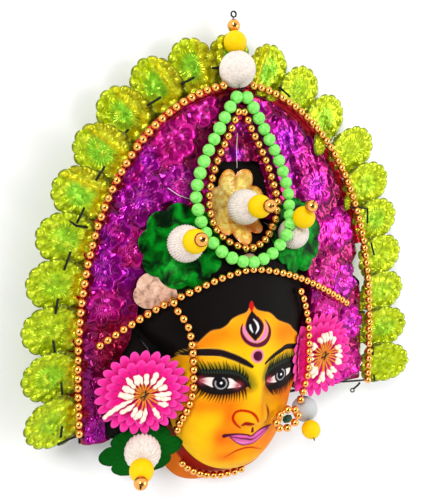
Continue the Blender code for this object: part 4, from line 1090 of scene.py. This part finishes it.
# The cloth flowers at the ears: two tiers of round lobes, cream stamens on orange stems, a black stitch
thread_black, shader = new_material("black_thread", "0E0C0C", Roughness=0.8)
bump(thread_black, shader, (noise(thread_black, 0.3), "Fac"), 0.05)
pink_material, shader = new_material("pink_cloth", "FF2AA6", Roughness=0.8, Sheen_Weight=0.1,
    Specular_IOR_Level=0.1)
tinted(pink_material, shader, 1.2, "E8D0E0", "FFFFFF")
bump(pink_material, shader, (noise(pink_material, 0.5, 4.0), "Fac"), 0.15, 0.6)
cream_material, shader = new_material("cream_stamen", "FFF4DC", Roughness=0.45)
tinted(cream_material, shader, 1.5, "E8DCC8", "FFFFFF")
EARS = (("left", (-68.2, -181.4, 4.0), (27.8, 27.0), (0.22, 0.09), 0.0, (16.5, 15.6)),
    ("right", (59.5, -177.5, 0.8), (28.3, 30.0), (-0.05, 0.02), 3.0, (14.6, 16.4)))


def ear_ground(centre, tilt, lift=0.0):
    def ground(px, py):
        plane = centre[2] + tilt[0] * (px - centre[0]) + tilt[1] * (py - centre[1])
        return np.maximum(plane, bed_z(px, py) + GAP) + lift
    return ground


def add_ear_flower(side, centre, half_sizes, tilt, shift, stamen_half):
    parts, tints = [], []
    for tier, (share_out, lobes, lift) in enumerate(((1.0, 25, 0.2), (0.8, 21, 1.7))):
        def relief(share, turns, lobe, out=share_out):
            fold = 1.1 * (1.0 - lobe**0.5) * smooth_step((share - 0.45) / 0.4)
            curl = 1.4 * smooth_step((share - 0.55) / 0.45)
            return 0.25 + curl - fold + 0.25 * np.sin(turns * 5 + 2.0 * out)
        half = (half_sizes[0] * share_out, half_sizes[1] * share_out)
        points, faces, shares, turns = soft_flower(centre, half, lobes, 0.16, relief,
            ear_ground(centre, tilt, lift), lobes * 10, 26, 0.14 * tier)
        lobe = np.abs(np.cos(0.5 * lobes * (turns - 0.14 * tier)))
        tint = Paint(points[:, 0], points[:, 1], "F81C98")
        # Deeper pink in the dips between lobes: painted shade
        tint.lay(smooth_step((0.35 - lobe) / 0.3) * shares * 0.8, "A80060")
        tint.lay(smooth_step((shares - 0.8) / 0.2) * 0.6, "F858BC")
        tint.lay(smooth_step((0.8 - shares) / 0.4) * 0.7, "F00884")
        parts.append((points, faces))
        tints.append(tint.colours)
    add_piece("pink_flower_" + side, *combine(parts), pink_material, "pink_cloth",
        ["ear_flower_" + side], np.vstack(tints))

    middle = np.array([centre[0] + shift, centre[1]])
    ground = ear_ground(centre, tilt, 3.2)
    dice = np.random.default_rng(11 if side == "left" else 12)
    parts, tints = [], []
    count = 18 if side == "left" else 24
    for i in range(count):
        angle = math.tau * (i + dice.uniform(-0.25, 0.25)) / count
        loose = side == "left" and i == 10
        reach = dice.uniform(0.8, 1.06) + (0.6 if loose else 0.0)
        bend = 0.08 if loose else dice.uniform(-0.3, 0.3)
        low = 0.16 * max(0.0, -math.sin(angle))
        head = dice.uniform(0.34, 0.5) + low if side == "left" else dice.uniform(0.58, 0.72)
        reach += low
        steps = np.linspace(0.12, reach, 20)
        swing = angle + bend * (steps - 0.12) ** 2
        px = middle[0] + stamen_half[0] * steps * np.cos(swing)
        py = middle[1] + stamen_half[1] * steps * np.sin(swing)
        rise = 0.6 + 2.2 * np.sin(np.clip(steps / reach, 0.0, 1.0) * math.pi * 0.8)
        along = np.clip((steps - head) / (reach - head), 0.0, 1.0)
        fat = dice.uniform(1.4, 1.95)
        radius = np.where(steps < head, 0.55,
            fat * np.sqrt(np.sin(0.15 + 0.8 * along * math.pi)) + 0.25 * np.sin(steps * 24 + 2 * i))
        part = tube(np.column_stack([px, py, ground(px, py) + rise]), radius, 12)
        stem = np.repeat(steps < head, 12)[:, None]
        tints.append(np.where(stem, linear("E88A14"), linear("FFF6EA")))
        parts.append(part)
    pad = turned((*middle, float(ground(*middle)) - 1.0), (0, 0, 1),
        [(0.0, 4.6), (1.0, 4.2), (1.8, 2.4), (2.0, 0.1)], 24)
    parts.append(pad)
    tints.append(np.tile(linear("D89A10"), (len(pad[0]), 1)))
    add_piece("stamen_threads_" + side, *combine(parts), cream_material, "cream_stamens",
        ["stamens_" + side], np.vstack(tints))
    stitch_z = float(ground(middle[0], middle[1])) + 2.6
    stitches = [tube([(middle[0] - 2.0 * dx, middle[1] - 2.0 * dy, stitch_z),
        (middle[0], middle[1], stitch_z + 0.6), (middle[0] + 2.0 * dx, middle[1] + 2.0 * dy, stitch_z)],
        0.4, 6) for dx, dy in ((1.5, 0.6), (0.4, 1.5))]
    add_piece("black_stitch_" + side, *combine(stitches), thread_black)


for ear in EARS:
    add_ear_flower(*ear)

leaf_material, shader = new_material("green_leaf_cloth", "00601A", Roughness=0.9,
    Specular_IOR_Level=0.1)
tinted(leaf_material, shader, 1.5, "C8D8C8", "FFFFFF")
bump(leaf_material, shader, (noise(leaf_material, 0.6, 4.0), "Fac"), 0.15, 0.6)


def leaf_ground(px, py):
    plane = -5.5 + 0.05 * (px + 66.0)
    return np.maximum(plane, np.where(face_reach(px, py) < 1.0, np.maximum(face_z(px, py), -7.5),
        -7.5) + GAP)


points, faces, shares, turns = soft_flower((-66.0, -223.5), (27.0, 16.0), 6, 0.2, lambda share, turns,
    lobe: 0.5 + 0.8 * (1 - share**2) + 0.15 * np.cos(turns * 24) * share, leaf_ground)
tint = Paint(points[:, 0], points[:, 1], "00580C")
tint.lay((np.cos(turns * 24) > 0.6) * shares * 0.3, "006C14")
tint.lay(smooth_step((shares - 0.92) / 0.08) * 0.5, "002E0A")
add_piece("green_leaf_left", points, faces, leaf_material, "green_cloth", ["ear_leaf_left"],
    tint.colours)

# The balls on their pins
white_material, shader = new_material("white_wound_ball", "EADFDD", Roughness=0.75,
    Specular_IOR_Level=0.2)
marks = noise(white_material, 1.4, 4.0)
shade = ramp(white_material, (marks, "Fac"), ((0.3, "D2C6BE"), (0.6, "EADFD6")))
put(white_material, shader, "Base Color", (shade, "Color"))
bump(white_material, shader, (marks, "Fac"), 0.3, 0.6)
yellow_material, shader = new_material("yellow_ball", "EEC600", Roughness=0.45, Specular_IOR_Level=0.12)
bump(yellow_material, shader, (noise(yellow_material, 0.8, 4.0), "Fac"), 0.1, 0.5)


WHITE_BALL, YELLOW_BALL, PIN_BEAD, PIN_RADIUS, PIN_END = 22.0, 14.0, 8.0, 0.4, 1.2


def sphere(centre, way, diameter, grooves=0, sides=64, rows=32):
    """A ball, with grooves from pole to pole where it is wound."""
    falls = np.linspace(0.02, math.pi - 0.02, rows)
    points, faces = turned(centre, way, [(-0.5 * diameter * math.cos(f),
        0.5 * diameter * math.sin(f)) for f in falls], sides)
    if grooves:
        turns = np.tile(np.arange(sides) * math.tau / sides, rows)
        centre = np.asarray(centre)
        depths = (0.5 - 0.5 * np.cos(turns * grooves)) * 2.0 / grooves
        points = centre + (points - centre) * (1.0 - depths)[:, None]
    return points, faces


def add_pin(name, centre, way, white=WHITE_BALL, with_gold=True, grooves=40, pale=white_material,
        yellow=YELLOW_BALL):
    """A white ball, a yellow one and a gold bead, one beyond the other along a pin."""
    centre, way = np.array(centre, float), np.array(way, float) / np.linalg.norm(way)
    add_piece(name + "_white", *sphere(centre, way, white, grooves, 4 * grooves), pale, "white_ball",
        [name + "_white_ball"])
    step = 0.5 * (white + YELLOW_BALL) + GAP
    add_piece(name + "_yellow", *sphere(centre + step * way, way, yellow), yellow_material,
        "yellow_ball", [name + "_yellow_ball"])
    last = step + 0.5 * YELLOW_BALL
    if with_gold:
        last = last + PIN_BEAD + GAP
        middle = centre + (last - 0.5 * PIN_BEAD) * way
        add_piece(name + "_gold", *bead(middle, way, PIN_BEAD, 24, 18), gold_material, "gold_beads",
            [name + "_gold_bead"])
    pin_end = centre + (last + PIN_END) * way
    add_piece(name + "_pin", *tube([centre, pin_end], PIN_RADIUS, 8), wire_material, "black_wire")


add_pin("finial", (-2.0, 8.6, -1.0), (0.1, 0.88, -0.36))
add_pin("centre_pin", (-0.5, -73.4, 6.5), (0.0, 0.1, 1.0))
add_pin("left_pin", (-43.7, -92.0, 15.5), (-0.11, 0.21, 0.97))
add_pin("right_pin", (34.8, -91.8, 6.9), (-0.05, 0.67, 0.74), white=20.0)
add_pin("left_ear_pin", (-70.6, -216.4, 10.6), (-0.36, -0.1, 0.93), grooves=24)
# The right ear's ball is white foam like the others, painted grey here as painted shade; the small ball at
# the crown's right edge takes the same grey
shade_grey_material, shader = new_material("shade_grey_foam_ball", "C0C4C6", Roughness=0.7)
bump(shade_grey_material, shader, (noise(shade_grey_material, 1.0), "Fac"), 0.1)
add_pin("right_ear_pin", (50.5, -215.6, 1.0), (-0.2, -0.56, 0.81), 17.6, False, pale=shade_grey_material,
    yellow=12.6)
add_piece("shade_grey_foam_ball", *sphere(on_level([(356.5, 322.0)], -7.0)[0], (0, 0, 1), 8.0), shade_grey_material,
    "white_ball")

# The nose ring: eight beads round a green stone, on a short wire
RING_CENTRE, RING_LEAN, RING_HALF = np.array([25.2, -210.6, 18.8]), -0.2, (9.4, 6.3)


def around_ring(angle, share=1.0):
    px, py = share * RING_HALF[0] * math.cos(angle), share * RING_HALF[1] * math.sin(angle)
    return RING_CENTRE + (px, py, RING_LEAN * px)


ring_parts = [bead(around_ring(math.tau * i / 8),
    around_ring(math.tau * i / 8 + 0.1) - around_ring(math.tau * i / 8), 5.2) for i in range(8)]
ring_parts.append(tube([around_ring(a) for a in np.linspace(0, math.tau, 33)], 0.6, 6))
ring_parts.append(tube([(12.3, -207.4, 20.2), (17.6, -209.6, 20.1)], 0.6, 6))
add_piece("nose_ring_beads", *combine(ring_parts), gold_material, "gold_beads", ["nose_ring"])
stone_material, shader = new_material("green_stone", "063A20", Roughness=0.12, Specular_IOR_Level=0.35)
bump(stone_material, shader, (noise(stone_material, 1.5), "Fac"), 0.3, 0.3)
stone = [around_ring(0.0, 0.0) + (0, 0, 2.4)]
for share, rise in ((0.2, 2.2), (0.36, 1.5), (0.45, 0.2), (0.4, -0.8)):
    stone += [around_ring(math.tau * i / 8, share) + (0, 0, rise) for i in range(8)]
add_piece("nose_ring_stone", stone, disc_faces(4, 8), stone_material, "gold_beads", smooth=False)

# Black wire: bars that pin the rosettes, the crown's loose ends
# Each is a row of the photograph's pixels and the height that the wire lies at
WIRES = (
    (((64, 270.3), (67.4, 261), (70.7, 251.6)), -0.6),
    (((76.7, 223.5), (80.6, 215.5), (84.5, 207.4)), 0.2),
    (((95.8, 180.7), (100.4, 173.4), (105, 166.2)), 0.6),
    (((118, 140.1), (123.4, 134.7), (128.7, 129.4)), -7.4),
    (((147.1, 105.7), (154, 101.4), (160.9, 97.2)), -8.0),
    (((180.8, 84.2), (187.6, 80.8), (194.3, 77.3)), -8.4),
    (((212.2, 68.1), (216, 67.8), (219.8, 67.4)), -9.0),
    (((279.1, 86.8), (284.5, 91.8), (289.9, 96.9)), -8.6),
    (((58, 298.5), (56.8, 306.2), (55.5, 313.9)), -0.6),
    (((61.2, 382.7), (62, 391), (62.6, 399)), -0.8),
    (((53.2, 340.6), (54.2, 348), (55.5, 354.8), (60, 355.2), (65, 354)), -1.2),
    (((65, 217.6), (76.5, 225.8), (87.6, 227.4)), -2.0),
    (((62.2, 426.5), (61.4, 432), (60.8, 437.5)), 0.8),
    (((57.4, 444.5), (66, 440.5), (76.5, 436.3), (84.2, 438.2), (103.3, 441.5)),
        (2.5, 1.5, -2.0, -5.0, -7.0)),
    (((331, 382), (345, 381.5), (358, 380.6), (366, 379.6)), -8.6),
    (((360, 382.5), (357, 386), (353.8, 388.6)), -8.6),
    (((350, 206.5), (361.2, 207.8), (367.6, 208.6), (367.4, 223.3)), -0.6),
    (((371, 242.7), (374.2, 255)), -0.6),
    (((359.4, 312), (364.8, 312)), -0.6),
    (((372.8, 347), (373, 355)), -1.2),
    (((374.1, 375), (374.3, 380.5)), -1.2),
    (((239, 88.5), (241, 90.4), (244, 88)), 1.0),
)
WIRE_RADIUS = 0.72
wire_parts = []
for pixels, level in WIRES:
    levels = np.broadcast_to(level, len(pixels))
    wire_parts.append(tube([on_level([spot], z)[0] for spot, z in zip(pixels, levels)], WIRE_RADIUS, 6))
loop = [(352.4 + 1.8 * math.cos(a), 390.2 + 1.8 * math.sin(a)) for a in np.linspace(0, math.tau, 13)]
wire_parts.append(tube(on_level(loop, -8.6), 0.5, 6))
add_piece("black_wires", *combine(wire_parts), wire_material, "black_wire")

fibre_material, shader = new_material("white_nylon", "F4F0EA", Roughness=0.3)
bump(fibre_material, shader, (noise(fibre_material, 0.5), "Fac"), 0.02)
fibres = [tube(on_level([(168, 188), (178, 195), (192, 200)], 1.0), 0.17, 5),
    tube(on_level([(237.4, 133), (236.6, 150), (237, 168)], -2.0), 0.17, 5)]
add_piece("nylon_fibres", *combine(fibres), fibre_material)

# The floor, the light and the camera
floor_material, shader = new_material("pale_floor", "F6F6F6", Roughness=0.9)
floor_marks = noise(floor_material, 60.0)
shade = ramp(floor_material, (floor_marks, "Fac"), ((0.3, "F4F4F4"), (0.7, "F9F9F9")))
put(floor_material, shader, "Base Color", (shade, "Color"))
bpy.ops.mesh.primitive_plane_add(size=6.0)
floor = bpy.context.object
floor.name = "floor"
floor.data.materials.append(floor_material)

world = bpy.data.worlds.new("studio")
bpy.context.scene.world = world
world.use_nodes = True
world_tree = world.node_tree
sky_way = world_tree.nodes.new("ShaderNodeTexCoord")
towards = world_tree.nodes.new("ShaderNodeVectorMath")
towards.operation = "DOT_PRODUCT"
towards.inputs[1].default_value = (-0.2, 0.08, 0.976)
sky = world_tree.nodes.new("ShaderNodeValToRGB")
SKY = ((0.0, 1.0), (0.5, 1.1), (0.74, 0.95), (0.9, 0.12))
while len(sky.color_ramp.elements) < len(SKY):
    sky.color_ramp.elements.new(0.5)
for element, (place, level) in zip(sky.color_ramp.elements, SKY):
    element.position = place
    element.color = (level, level, level, 1.0)
world_tree.links.new(sky_way.outputs["Generated"], towards.inputs[0])
world_tree.links.new(towards.outputs["Value"], sky.inputs["Fac"])
world_tree.links.new(sky.outputs["Color"], world_tree.nodes["Background"].inputs["Color"])
world_tree.nodes["Background"].inputs["Strength"].default_value = 1.1


def add_light(name, place, size, watts):
    """A soft square lamp that looks at the mask."""
    lamp = bpy.data.lights.new(name, "AREA")
    lamp.size = size
    lamp.energy = watts
    lamp_object = bpy.data.objects.new(name, lamp)
    bpy.context.scene.collection.objects.link(lamp_object)
    lamp_object.location = place
    way = -np.array(place, float)
    lamp_object.rotation_mode = "QUATERNION"
    lamp_object.rotation_quaternion = Vector(way).to_track_quat("-Z", "Y")


add_light("key", (-0.75, 0.75, 1.0), 0.4, 11.0)
add_light("fill", (0.9, 0.0, 0.9), 0.5, 4.5)

camera = bpy.data.cameras.new("camera")
PICTURE_HEIGHT, SENSOR = 500.0, 36.0
camera.lens = FOCAL / PICTURE_HEIGHT * SENSOR
camera.sensor_width = SENSOR
camera_object = bpy.data.objects.new("camera", camera)
bpy.context.scene.collection.objects.link(camera_object)
place = (CAMERA + ARCH_TOP) * MM
camera_object.matrix_world = Matrix([[RIGHT[i], UP[i], -FORWARD[i], place[i]] for i in range(3)]
    + [[0, 0, 0, 1]])
bpy.context.scene.camera = camera_object
bpy.context.scene.view_settings.view_transform = "Standard"
